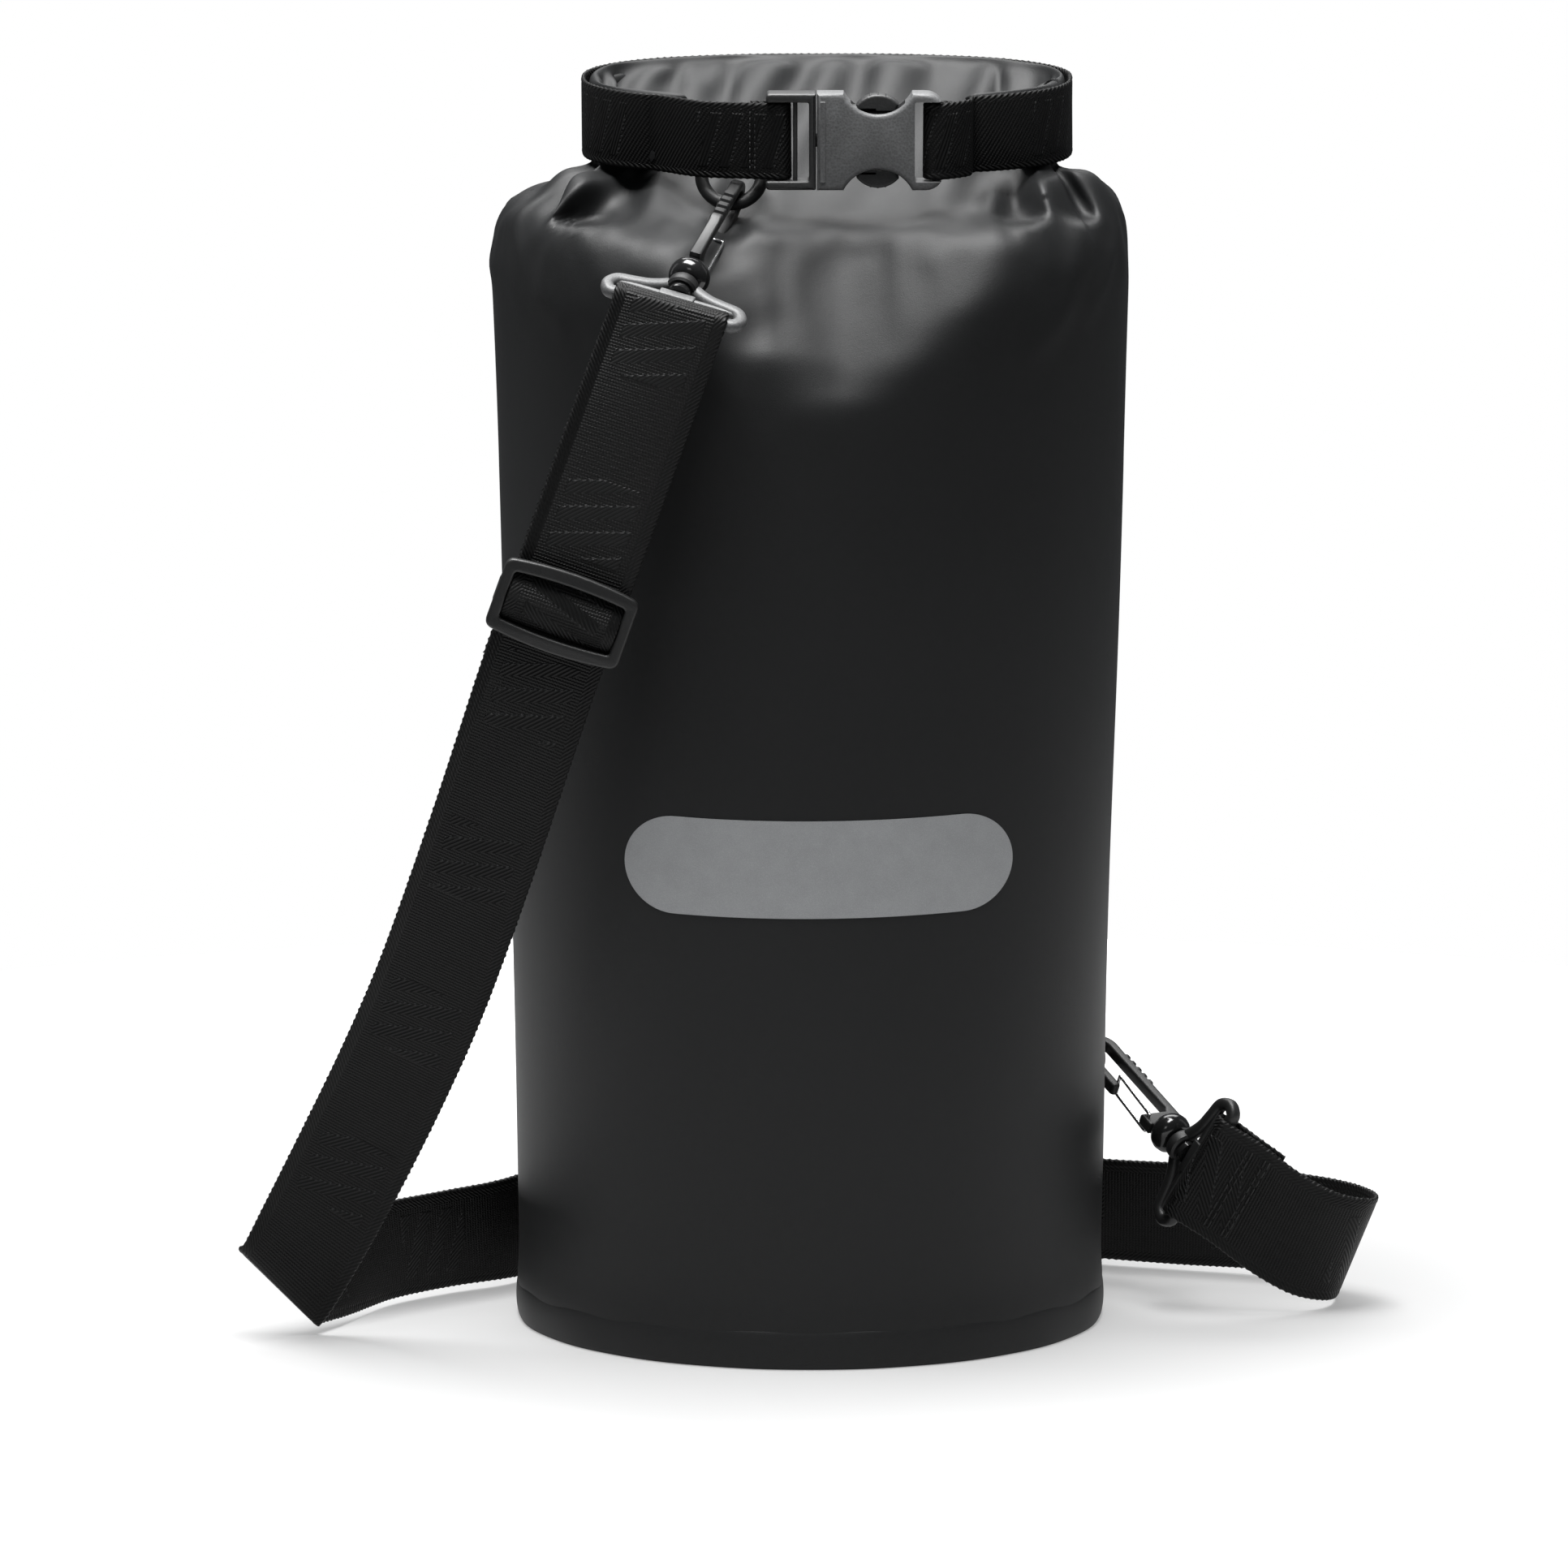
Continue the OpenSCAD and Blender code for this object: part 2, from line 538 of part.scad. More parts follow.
body_shell();
base_panel();
base_weld_band();
back_seam_tape();
reflective_mark();
mouth_roll();
mouth_stiffener();
closure_webbing();
closure_tacks();
buckle_male();
buckle_prong_upper();
buckle_prong_lower();
buckle_female();
upper_ring_tab();
upper_ring_tack();
upper_d_ring();
lower_ring_patch();
lower_ring_tab();
lower_ring_tacks();
lower_d_ring();
upper_hook();
upper_swivel_pin();
upper_gate();
upper_web_loop();
upper_loop_sleeve();
lower_hook();
lower_swivel_pin();
lower_gate();
lower_web_loop();
lower_loop_sleeve();
shoulder_strap();
slider();
strap_end_stitches();
strap_box_stitches();
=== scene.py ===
"""Looks of the roll-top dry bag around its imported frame: fabric, webbing, plastic and steel. Metres."""

import math

import bpy
import bmesh
import numpy as np
from mathutils import Matrix, Vector


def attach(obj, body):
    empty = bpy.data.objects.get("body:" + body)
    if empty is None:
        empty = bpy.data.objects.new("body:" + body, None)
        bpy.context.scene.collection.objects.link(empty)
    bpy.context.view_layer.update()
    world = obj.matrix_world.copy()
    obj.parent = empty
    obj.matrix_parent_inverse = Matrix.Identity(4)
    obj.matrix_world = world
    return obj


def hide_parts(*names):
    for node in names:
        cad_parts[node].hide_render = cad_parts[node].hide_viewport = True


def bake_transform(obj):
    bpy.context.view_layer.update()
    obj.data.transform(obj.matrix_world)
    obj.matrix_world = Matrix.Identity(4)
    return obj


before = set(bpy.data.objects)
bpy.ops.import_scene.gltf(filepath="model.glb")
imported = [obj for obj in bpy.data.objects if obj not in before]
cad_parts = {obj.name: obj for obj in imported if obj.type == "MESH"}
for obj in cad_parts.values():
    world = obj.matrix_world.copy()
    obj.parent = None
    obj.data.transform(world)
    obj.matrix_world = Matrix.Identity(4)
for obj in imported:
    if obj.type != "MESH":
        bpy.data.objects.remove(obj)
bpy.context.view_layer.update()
scene = bpy.context.scene
MM = 0.001


def add_object(name, data):
    obj = bpy.data.objects.new(name, data)
    scene.collection.objects.link(obj)
    return obj


# ------------------------------------------------------------------ camera and light
def look_at(obj, target):
    obj.rotation_euler = (Vector(target) - obj.location).to_track_quat("-Z", "Y").to_euler()


def make_camera():
    aim, away, up = Vector((-0.0085, 0, 0.176)), 14.0, math.radians(10.8)
    data = bpy.data.cameras.new("camera")
    data.sensor_width = 36
    data.lens = 36 * away / 0.5125
    data.clip_end = 50
    cam = add_object("camera", data)
    cam.location = aim + Vector((0, -away * math.cos(up), away * math.sin(up)))
    look_at(cam, aim)
    scene.camera = cam


def area_light(name, loc, target, size, power, size_y=None):
    data = bpy.data.lights.new(name, "AREA")
    data.size = size
    if size_y:
        data.shape = "RECTANGLE"
        data.size_y = size_y
    data.energy = power
    obj = add_object(name, data)
    obj.location = loc
    look_at(obj, target)
    obj.visible_camera = False


make_camera()
area_light("top_box", (-0.12, -0.14, 1.75), (0, 0, 0.2), 1.1, 78, 0.8)
area_light("back_box", (0.1, 1.0, 1.35), (0, 0, 0.15), 1.2, 14, 0.6)
area_light("left_strip", (-1.5, 0.5, 0.75), (0, 0, 0.25), 0.5, 1.6, 1.4)
area_light("right_strip", (1.5, 0.5, 0.75), (0, 0, 0.25), 0.5, 1.0, 1.4)
area_light("front_fill", (-0.6, -2.2, 1.3), (0, 0, 0.2), 0.6, 3)


def make_world():
    """White to the camera, and a faint cool light on everything else."""
    world = bpy.data.worlds.new("studio")
    scene.world = world
    world.use_nodes = True
    tree = world.node_tree
    tree.nodes.clear()
    out, either, path, seen, light = [tree.nodes.new("ShaderNode" + kind) for kind in (
        "OutputWorld", "MixShader", "LightPath", "Background", "Background")]
    seen.inputs[0].default_value = (1, 1, 1, 1)
    light.inputs[0].default_value = (0.9, 0.95, 1, 1)
    light.inputs[1].default_value = 0.09
    for i, source in enumerate((path.outputs["Is Camera Ray"], light.outputs[0], seen.outputs[0])):
        tree.links.new(source, either.inputs[i])
    tree.links.new(either.outputs[0], out.inputs[0])


make_world()
scene.view_settings.view_transform = "Standard"


# ------------------------------------------------------------------ small node language
class Sock:
    """A node socket that takes part in arithmetic."""

    def __init__(self, tree, out):
        self.tree, self.out = tree, out

    def math(self, op, *others):
        node = self.tree.nodes.new("ShaderNodeMath")
        node.operation = op
        for i, v in enumerate((self,) + others):
            if isinstance(v, Sock):
                self.tree.links.new(v.out, node.inputs[i])
            else:
                node.inputs[i].default_value = v
        return Sock(self.tree, node.outputs[0])

    def __add__(self, v):
        return self.math("ADD", v)

    def __sub__(self, v):
        return self.math("SUBTRACT", v)

    def __mul__(self, v):
        return self.math("MULTIPLY", v)

    def wave(self, period):
        """A sine of the value; its period is in the value's own units."""
        return (self * (2 * math.pi / period) + 0.0).math("SINE")

    def soft(self, lo, hi):
        """0 below lo, 1 above hi, and a smooth step between."""
        node = self.tree.nodes.new("ShaderNodeMapRange")
        node.interpolation_type = "SMOOTHSTEP"
        self.tree.links.new(self.out, node.inputs[0])
        node.inputs[1].default_value, node.inputs[2].default_value = lo, hi
        return Sock(self.tree, node.outputs[0])


class Paint:
    """A principled material whose nodes are made by calls."""

    def __init__(self, name):
        self.m = bpy.data.materials.new(name)
        self.m.use_nodes = True
        self.t = self.m.node_tree
        self.b = self.t.nodes["Principled BSDF"]
        coords = self.t.nodes.new("ShaderNodeTexCoord")
        self.where = coords.outputs["Object"]
        self.uv = coords.outputs["UV"]

    def set(self, **values):
        for key, v in values.items():
            self.b.inputs[key.replace("_", " ").title().replace("Ior", "IOR")].default_value = v

    def node(self, kind, links, **values):
        """A node with sockets linked to its inputs, and constants on the inputs that they name."""
        made = self.t.nodes.new("ShaderNode" + kind)
        for key, source in links:
            self.t.links.new(source, made.inputs[key])
        for key, v in values.items():
            made.inputs[key].default_value = v
        return made

    def noise(self, scale, detail=4, rough=0.5, stretch=None):
        source = self.where
        if stretch:
            source = self.node("Mapping", [(0, source)], Scale=stretch).outputs[0]
        made = self.node("TexNoise", [("Vector", source)], Scale=scale, Detail=detail, Roughness=rough)
        return Sock(self.t, made.outputs[0])

    def cells(self, scale):
        return Sock(self.t, self.node("TexVoronoi", [("Vector", self.where)], Scale=scale).outputs[0])

    def distance(self, centre):
        made = self.node("VectorMath", [(0, self.where)])
        made.operation = "DISTANCE"
        made.inputs[1].default_value = centre
        return Sock(self.t, made.outputs["Value"])

    def along_across(self):
        made = self.node("SeparateXYZ", [(0, self.uv)])
        return Sock(self.t, made.outputs[0]), Sock(self.t, made.outputs[1])

    def color(self, sock, *stops):
        made = self.node("ValToRGB", [(0, sock.out)])
        ramp = made.color_ramp
        while len(ramp.elements) < len(stops):
            ramp.elements.new(0.5)
        for el, (pos, col) in zip(ramp.elements, stops):
            el.position = pos
            el.color = tuple(col) + (1,)
        self.t.links.new(made.outputs[0], self.b.inputs["Base Color"])

    def rough(self, sock, lo, hi):
        made = self.node("MapRange", [(0, sock.out)])
        made.inputs[3].default_value, made.inputs[4].default_value = lo, hi
        self.t.links.new(made.outputs[0], self.b.inputs["Roughness"])

    def bump(self, *layers):
        last = None
        for sock, dist, strength in layers:
            links = [("Height", sock.out)] + ([("Normal", last)] if last else [])
            last = self.node("Bump", links, Distance=dist, Strength=strength).outputs[0]
        self.t.links.new(last, self.b.inputs["Normal"])


def grey(v, tint=0.0):
    return (v * (1 - tint), v, v * (1 + tint))


def fabric_paint():
    p, base = Paint("coated_fabric"), 0.0060
    fine, mottle, broad = p.noise(2600, 5, 0.65), p.noise(420, 3, 0.6), p.noise(14, 3)
    tone = fine * 0.35 + mottle * 0.25 + broad * 0.4
    p.color(tone, (0.3, grey(base * 0.85, 0.05)), (0.7, grey(base * 1.3, 0.06)))
    p.rough(fine * 0.5 + broad * 0.5, 0.47, 0.60)
    p.set(ior=1.42, specular_ior_level=0.40)
    p.bump((fine, 0.00012, 0.5), (mottle, 0.0002, 0.14))
    return p.m


def half_wave(sock, period):
    """A wave between 0 and 1."""
    return sock.wave(period) * 0.5 + 0.5


def mix(a, b, share):
    return a * (share * -1.0 + 1.0) + b * share


def below(sock, lo, hi):
    """1 while the value is under lo, 0 over hi."""
    return (sock * -1.0).soft(-hi, -lo)


def webbing_paint(name, weave, bars, tones, depths):
    """Woven webbing, whose UV is the length and the place across in metres.

    weave gives the ground, the weave inside the bars, the selvedge, and 1 where the selvedge is."""
    pitch, first, last, bar_pitch, bar, lean, reach, rim_wide, dot = bars
    # tones: base colour, gain of the painted highlight on the raised weave, lowest roughness, specular level
    # and the scale of the wear noise
    base, rib_highlight_gain, gloss, specular, worn_scale = tones
    p = Paint(name)
    u, v = p.along_across()
    av = v.math("ABSOLUTE")
    ground, diagonal, selvedge, edge = weave(u, v, av)
    # groups of slanted woven bars at intervals, each bar with a dotted outline
    group = u.math("WRAP", pitch, 0.0)
    block = group.soft(first, first + 0.0008) * below(group, last - 0.0008, last)
    saw = (u + v * lean).math("WRAP", bar_pitch, 0.0)
    inside = below(av, reach - 0.0006, reach)
    figure = block * saw.soft(bar, bar + 0.0004) * inside
    rim = below((saw - (bar + 0.0002)).math("ABSOLUTE"), rim_wide - 0.0002, rim_wide) * inside * block
    dots = rim * v.wave(dot).soft(-0.2, 0.2)
    height = mix(mix(ground, diagonal, figure), selvedge, edge)
    worn = p.noise(worn_scale, 4)
    # the weave's height sets the colour too: painted shade in the low yarn between the ribs and painted
    # highlights on the raised ribs; the wear noise is random tone
    tone = height * 0.55 + worn * 0.15 + figure * 0.06 + dots * 0.5
    p.color(tone, (0.1, grey(base * 0.3)), (0.5, grey(base)), (0.8, grey(base * rib_highlight_gain, 0.02)),
            (1.0, grey(base * 9, 0.02)))
    p.rough(height * 0.7 + worn * 0.3, 0.70, gloss)
    p.set(ior=1.4, specular_ior_level=specular)
    p.bump((height, depths[0], 0.9), (figure, depths[1], depths[2]), (dots, 0.0003, 0.6))
    return p.m


def strap_paint(name, width):
    """Ribbed webbing with herringbone edges."""
    def weave(u, v, av):
        ribs = half_wave(u + v.wave(0.0011) * 0.00008, 0.00105)
        yarn = half_wave(v + u.wave(0.0021) * 0.00022, 0.00092)
        side = half_wave(u * 0.8 + av, 0.0013) * 0.7 + half_wave(av, 0.0014) * 0.3
        edge = av.soft(width / 2 - 0.0042, width / 2 - 0.0036)
        return ribs * 0.75 + yarn * 0.25, half_wave(u * 0.7 + v * 0.75, 0.0012), side, edge

    return webbing_paint(name, weave, (0.062, 0.012, 0.040, 0.0092, 0.0044, 0.35, 0.0128, 0.00055, 0.0016),
                         (0.0030, 3.4, 0.42, 0.30, 60), (0.00030, 0.00025, 0.7))


def twill_paint(name, width):
    """Slanted twill with braided edges."""
    def weave(u, v, av):
        twill, yarn = half_wave(u * 0.9 + v * 0.6, 0.00125), half_wave(u * -0.5 + v, 0.0009)
        upright, braid = half_wave(v * 0.35 + u, 0.0011), half_wave(u + av * 1.6, 0.0022)
        return twill * 0.75 + yarn * 0.25, upright, braid, av.soft(width / 2 - 0.0022, width / 2 - 0.0018)

    return webbing_paint(name, weave, (0.058, 0.016, 0.046, 0.0072, 0.0034, 0.25, 0.0092, 0.0005, 0.0014),
                         (0.0036, 3.0, 0.40, 0.22, 70), (0.00028, 0.00028, 0.8))


def plastic_paint(name, base, grain, depth, rough):
    p = Paint(name)
    spark, fine, scuff = p.cells(grain), p.noise(4200, 4, 0.7), p.noise(90, 5, 0.7)
    p.color(spark * 0.5 + scuff * 0.5, (0.2, grey(base * 0.75)), (0.85, grey(base * 1.5, 0.02)))
    p.rough(scuff * 0.6 + fine * 0.4, *rough)
    p.set(ior=1.49, specular_ior_level=0.5)
    p.bump((spark, depth, 0.5), (fine, depth * 0.5, 0.4))
    return p.m


def steel_paint():
    p = Paint("bright_steel")
    drawn, scuff = p.noise(900, 3, 0.5, (1, 1, 0.12)), p.noise(300, 4, 0.6)
    p.color(drawn * 0.6 + scuff * 0.4, (0.3, grey(0.52)), (0.7, grey(0.74, 0.01)))
    p.set(metallic=1.0)
    p.rough(scuff * 0.5 + drawn * 0.5, 0.14, 0.30)
    p.bump((drawn, 0.00002, 0.4))
    return p.m


def print_paint():
    p = Paint("reflective_film")
    beads, tone = p.cells(3600), p.noise(120, 4, 0.6)
    p.color(beads * 0.5 + tone * 0.5, (0.2, grey(0.26, 0.02)), (0.8, grey(0.36, 0.02)))
    p.rough(beads, 0.38, 0.55)
    p.set(metallic=0.35, ior=1.5)
    p.bump((beads, 0.00003, 0.5))
    return p.m


def thread_paint():
    p = Paint("sewing_thread")
    twist, tone = p.noise(2400, 3, 0.5, (1, 1, 0.4)), p.noise(200, 3)
    p.color(twist * 0.6 + tone * 0.4, (0.2, grey(0.003)), (0.8, grey(0.009)))
    p.rough(twist, 0.45, 0.7)
    p.bump((twist, 0.00008, 0.6))
    return p.m


FABRIC = fabric_paint()
WEB38 = strap_paint("ribbed_webbing_38", 0.038)
WEB25 = twill_paint("twill_webbing_25", 0.025)
TAB_WEB = twill_paint("tab_webbing", 0.0146)
BUCKLE = plastic_paint("buckle_plastic", 0.085, 1300, 0.00010, (0.40, 0.58))
# the male half and prongs share the buckle's plastic; this darker copy is painted shade where they sit
# recessed behind the female half
BUCKLE_IN_SHADE = plastic_paint("buckle_plastic_painted_shade", 0.018, 1300, 0.00009, (0.38, 0.52))
HARD = plastic_paint("hardware_plastic", 0.007, 2200, 0.00006, (0.40, 0.54))
LOOP_PLASTIC = plastic_paint("loop_plastic", 0.08, 1600, 0.00008, (0.40, 0.55))
GLOSS = plastic_paint("gloss_plastic", 0.008, 2600, 0.00001, (0.10, 0.20))
STEEL = steel_paint()
PRINT = print_paint()
THREAD = thread_paint()


# ------------------------------------------------------------------ mesh helpers
def turn(ax, ay=0, az=0):
    r = [Matrix.Rotation(math.radians(a), 4, n) for a, n in ((ax, "X"), (ay, "Y"), (az, "Z"))]
    return r[2] @ r[1] @ r[0]


def move(x, y, z):
    return Matrix.Translation(Vector((x, y, z)) * MM)


def finish_mesh(obj, angle=35, weld=0.0):
    me = obj.data
    bm = bmesh.new()
    bm.from_mesh(me)
    if weld:
        bmesh.ops.remove_doubles(bm, verts=bm.verts, dist=weld)
    bmesh.ops.recalc_face_normals(bm, faces=bm.faces)
    bm.to_mesh(me)
    bm.free()
    me.polygons.foreach_set("use_smooth", [True] * len(me.polygons))
    me.set_sharp_from_angle(angle=math.radians(angle))
    return obj


def raw_mesh(name, verts, faces):
    me = bpy.data.meshes.new(name)
    me.from_pydata([tuple(v) for v in verts], [], faces)
    me.update()
    return me


def mesh_object(name, verts, faces, paint, uvs=None, angle=35, weld=0.0):
    me = raw_mesh(name, verts, faces)
    if uvs is not None:
        layer = me.uv_layers.new(name="UVMap")
        index = np.zeros(len(me.loops), dtype=np.int32)
        me.loops.foreach_get("vertex_index", index)
        layer.data.foreach_set("uv", np.asarray(uvs, dtype=np.float32)[index].ravel())
    me.materials.append(paint)
    return finish_mesh(add_object(name, me), angle, weld)


def apply_all(obj):
    dg = bpy.context.evaluated_depsgraph_get()
    me = bpy.data.meshes.new_from_object(obj.evaluated_get(dg))
    obj.modifiers.clear()
    obj.data = me


def signed_pow(v, k):
    return math.copysign(abs(v) ** k, v)


def circle(n):
    """Cosine and sine at n even steps."""
    return [(math.cos(2 * math.pi * k / n), math.sin(2 * math.pi * k / n)) for k in range(n)]


def arc_pts(cx, cy, r, a0, a1, n):
    angles = [math.radians(a0 + (a1 - a0) * k / n) for k in range(n + 1)]
    return [(cx + r * math.cos(g), cy + r * math.sin(g)) for g in angles]


def grid_faces(rows, around, wrap=0):
    """Quads between rows of a closed ring of points; wrap is the number of points if the rows close too."""
    out = []
    for j in range(rows):
        for k in range(around):
            a, b = j * around + k, j * around + (k + 1) % around
            quad = (a, b, b + around, a + around)
            out.append(tuple(i % wrap for i in quad) if wrap else quad)
    return out


def band_faces(rows, around):
    """The closed grid of a flat section, and quads across both its ends."""
    out = grid_faces(rows, around)
    for base in (0, rows * around):
        out += [(base + k, base + k + 1, base + around - 2 - k, base + around - 1 - k)
                for k in range(around // 2 - 1)]
    return out


def film_faces(rows, cols):
    """A closed thin film: two open grids of points, outer first, and the strip round their edge."""
    row, under, out = cols + 1, (rows + 1) * (cols + 1), []
    for i in range(rows):
        for j in range(cols):
            a, b, c, d = i * row + j, (i + 1) * row + j, (i + 1) * row + j + 1, i * row + j + 1
            out += [(a, b, c, d), (under + a, under + d, under + c, under + b)]
    for i in range(rows):
        for j in (0, cols):
            a, b = i * row + j, (i + 1) * row + j
            out.append((a, b, under + b, under + a))
    for j in range(cols):
        for i in (0, rows):
            a = i * row + j
            out.append((a, a + 1, under + a + 1, under + a))
    return out


def join(name, objs):
    """One object out of several, geometry in the row frame."""
    bm = bmesh.new()
    mats, out_me = [], bpy.data.meshes.new(name)
    for o in objs:
        me = o.data
        me.transform(o.matrix_world)
        base = len(bm.faces)
        bm.from_mesh(me)
        bm.faces.ensure_lookup_table()
        slots = []
        for m in me.materials:
            if m not in mats:
                mats.append(m)
            slots.append(mats.index(m))
        for f in bm.faces[base:]:
            f.material_index = slots[f.material_index] if slots else 0
    bm.to_mesh(out_me)
    bm.free()
    for m in mats:
        out_me.materials.append(m)
    for o in objs:
        bpy.data.objects.remove(o)
    return add_object(name, out_me)


def rounded(points, radii):
    """A polygon's corners turned into curves; radii is one number or one for each corner."""
    if not hasattr(radii, "__len__"):
        radii = [radii] * len(points)
    out, count = [], len(points)
    for i, p in enumerate(points):
        p, a, b = Vector(p), Vector(points[i - 1]), Vector(points[(i + 1) % count])
        da, db, r = a - p, b - p, radii[i]
        if r <= 0:
            out.append(tuple(p))
            continue
        half = da.angle(db) / 2
        cut = min(r / math.tan(half), da.length * 0.49, db.length * 0.49)
        s, e = p + da.normalized() * cut, p + db.normalized() * cut
        for k in range(8):
            t = k / 7
            out.append(tuple(s * (1 - t) ** 2 + p * 2 * t * (1 - t) + e * t * t))
    return out


def plate(name, outlines, thick, edge, paint, matrix):
    """A flat part with rounded edges: outlines in millimetres, thickness along local Z."""
    cu = bpy.data.curves.new(name, "CURVE")
    cu.dimensions = "2D"
    cu.fill_mode = "BOTH"
    cu.extrude = (thick / 2 - edge) * MM
    cu.bevel_depth = edge * MM
    cu.bevel_resolution = 3
    cu.offset = -edge * MM
    for pts in outlines:
        sp = cu.splines.new("POLY")
        sp.points.add(len(pts) - 1)
        for q, p in zip(sp.points, pts):
            q.co = (p[0] * MM, p[1] * MM, 0, 1)
        sp.use_cyclic_u = True
    tmp = add_object(name + "_curve", cu)
    me = bpy.data.meshes.new_from_object(tmp.evaluated_get(bpy.context.evaluated_depsgraph_get()))
    bpy.data.objects.remove(tmp)
    me.materials.clear()
    me.materials.append(paint)
    me.transform(matrix)
    return finish_mesh(add_object(name, me), 40, 2e-6)


def box(name, lo, hi, edge, paint, matrix):
    """A block with rounded edges, corners in millimetres."""
    (x0, y0, z0), (x1, y1, z1) = lo, hi
    outline = rounded([(x0, y0), (x1, y0), (x1, y1), (x0, y1)], edge)
    shift = Matrix.Translation(Vector((0, 0, (z0 + z1) / 2)) * MM)
    return plate(name, [outline], z1 - z0, min(edge, (z1 - z0) * 0.45), paint, matrix @ shift)


def cut(obj, *cutters):
    for c in cutters:
        m = obj.modifiers.new("cut", "BOOLEAN")
        m.operation, m.object, m.solver = "DIFFERENCE", c, "EXACT"
    apply_all(obj)
    for c in cutters:
        bpy.data.objects.remove(c)
    return finish_mesh(obj, 40, 1e-6)


def spline(a, b, c, d, t):
    """Catmull-Rom between b and c."""
    return 0.5 * (2 * b + (c - a) * t + (2 * a - 5 * b + 4 * c - d) * t * t
                  + (3 * b - a - 3 * c + d) * t ** 3)


def smooth_line(points, step):
    """A curve through the points, resampled to even steps."""
    P = [Vector(p) for p in points]
    n, out = len(P), []
    for i in range(n - 1):
        a, b, c, d = P[max(0, i - 1)], P[i], P[i + 1], P[min(n - 1, i + 2)]
        m = max(2, int((c - b).length / step))
        out += [spline(a, b, c, d, k / m) for k in range(m)]
    return out + [P[-1]]


def tube(name, points, radius, paint, matrix, sides=20, step=0.7, normal=(0, 1, 0), power=1.0):
    """A rod with rounded ends along points in millimetres. A power under 1 squares its section."""
    line = smooth_line(points, step)
    n = len(line)
    verts = []
    for i, p in enumerate(line):
        d = (line[min(n - 1, i + 1)] - line[max(0, i - 1)]).normalized()
        side = d.cross(Vector(normal)).normalized()
        if side.length < 0.5:
            side = d.orthogonal().normalized()
        up = side.cross(d).normalized()
        verts += [(p + side * signed_pow(c, power) * radius + up * signed_pow(s, power) * radius) * MM
                  for c, s in circle(sides)]
    faces = grid_faces(n - 1, sides)
    for end, d in ((0, line[0] - line[1]), (n - 1, line[-1] - line[-2])):
        d = d.normalized()
        base = [end * sides + k for k in range(sides)]
        centre = line[end] * MM
        prev = base
        for t in (0.5, 0.85):
            ring = [len(verts) + k for k in range(sides)]
            verts += [centre + (verts[k] - centre) * math.cos(t * math.pi / 2)
                      + d * radius * 0.6 * MM * math.sin(t * math.pi / 2) for k in base]
            faces += [(prev[k - 1], prev[k], ring[k], ring[k - 1]) for k in range(sides)]
            prev = ring
        tip = len(verts)
        verts.append(centre + d * radius * 0.62 * MM)
        faces += [(prev[k - 1], prev[k], tip) for k in range(sides)]
    return mesh_object(name, [matrix @ v for v in verts], faces, paint, angle=50)


def lathe(name, profile, paint, matrix, sides=48):
    """Turned about local Z: profile of (radius, z) in millimetres, from axis to axis or a closed ring."""
    ring = profile[0] == profile[-1]
    prof = profile[:-1] if ring else profile
    verts = [matrix @ (Vector((r * c, r * s, z)) * MM) for r, z in prof for c, s in circle(sides)]
    m = len(prof)
    faces = grid_faces(m, sides, m * sides) if ring else grid_faces(m - 1, sides)
    return mesh_object(name, verts, faces, paint, angle=40, weld=1e-7)


def ribbon(name, line, width, thick, paint, uv0=0.0, wave=None, scallop=0.0):
    """Webbing along [(centre, across vector)] in metres: rounded edges, slightly raised selvedge."""
    half = [(0.0, 1.0), (0.45, 1.0), (0.82, 1.0), (0.88, 0.9), (0.93, 1.05), (0.98, 0.8), (1.0, 0.3)]
    top = [(-x, h) for x, h in reversed(half[1:])] + half
    section = top + [(x, -h) for x, h in reversed(top)]
    n, m = len(line), len(section)
    verts, uvs, run = [], [], uv0
    for i, (c, across) in enumerate(line):
        if i:
            run += (Vector(c) - Vector(line[i - 1][0])).length
        a, b = Vector(line[max(0, i - 1)][0]), Vector(line[min(n - 1, i + 1)][0])
        w = Vector(across).normalized()
        nrm = (b - a).cross(w).normalized()
        edge = scallop * abs(math.sin(math.pi * run / 0.0024)) ** 0.8 - scallop
        for x, h in section:
            off = wave(run, x) if wave else 0.0
            verts.append(Vector(c) + w * (x * width / 2 + (math.copysign(edge, x) if abs(x) > 0.97 else 0))
                         + nrm * (h * thick / 2 + off))
            uvs.append((run, x * width / 2))
    return mesh_object(name, verts, band_faces(n - 1, m), paint, uvs, angle=60)


def stitches(name, rows, paint, thick=0.45, length=2.6, gap=0.7):
    """Rows of short rounded stitches: each row is a start, an end and the surface normal, in metres."""
    verts, faces = [], []
    for start, end, nrm in rows:
        s, e, nrm = Vector(start), Vector(end), Vector(nrm).normalized()
        total = (e - s).length
        d = (e - s).normalized()
        side = d.cross(nrm).normalized()
        count = max(1, int(total / ((length + gap) * MM)))
        pitch = total / count
        for q in range(count):
            base = len(verts)
            a = s + d * (q * pitch + gap * MM / 2)
            run = pitch - gap * MM
            prof = [(0, 0.0, 0.35), (0.15, 0.55, 0.9), (0.5, 0.8, 1.0), (0.85, 0.55, 0.9), (1, 0.0, 0.35)]
            for t, lift, fat in prof:
                c = a + d * run * t + nrm * (lift - 0.35) * thick * 0.6 * MM
                verts += [c + (side * x + nrm * y) * thick / 2 * fat * MM for x, y in circle(6)]
            caps = [tuple(range(6)), tuple(range(24, 30))]
            faces += [tuple(base + i for i in f) for f in grid_faces(len(prof) - 1, 6) + caps]
    return mesh_object(name, verts, faces, paint, angle=60)


def place(obj, body, nodes=()):
    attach(obj, body)
    if nodes:
        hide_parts(*nodes)


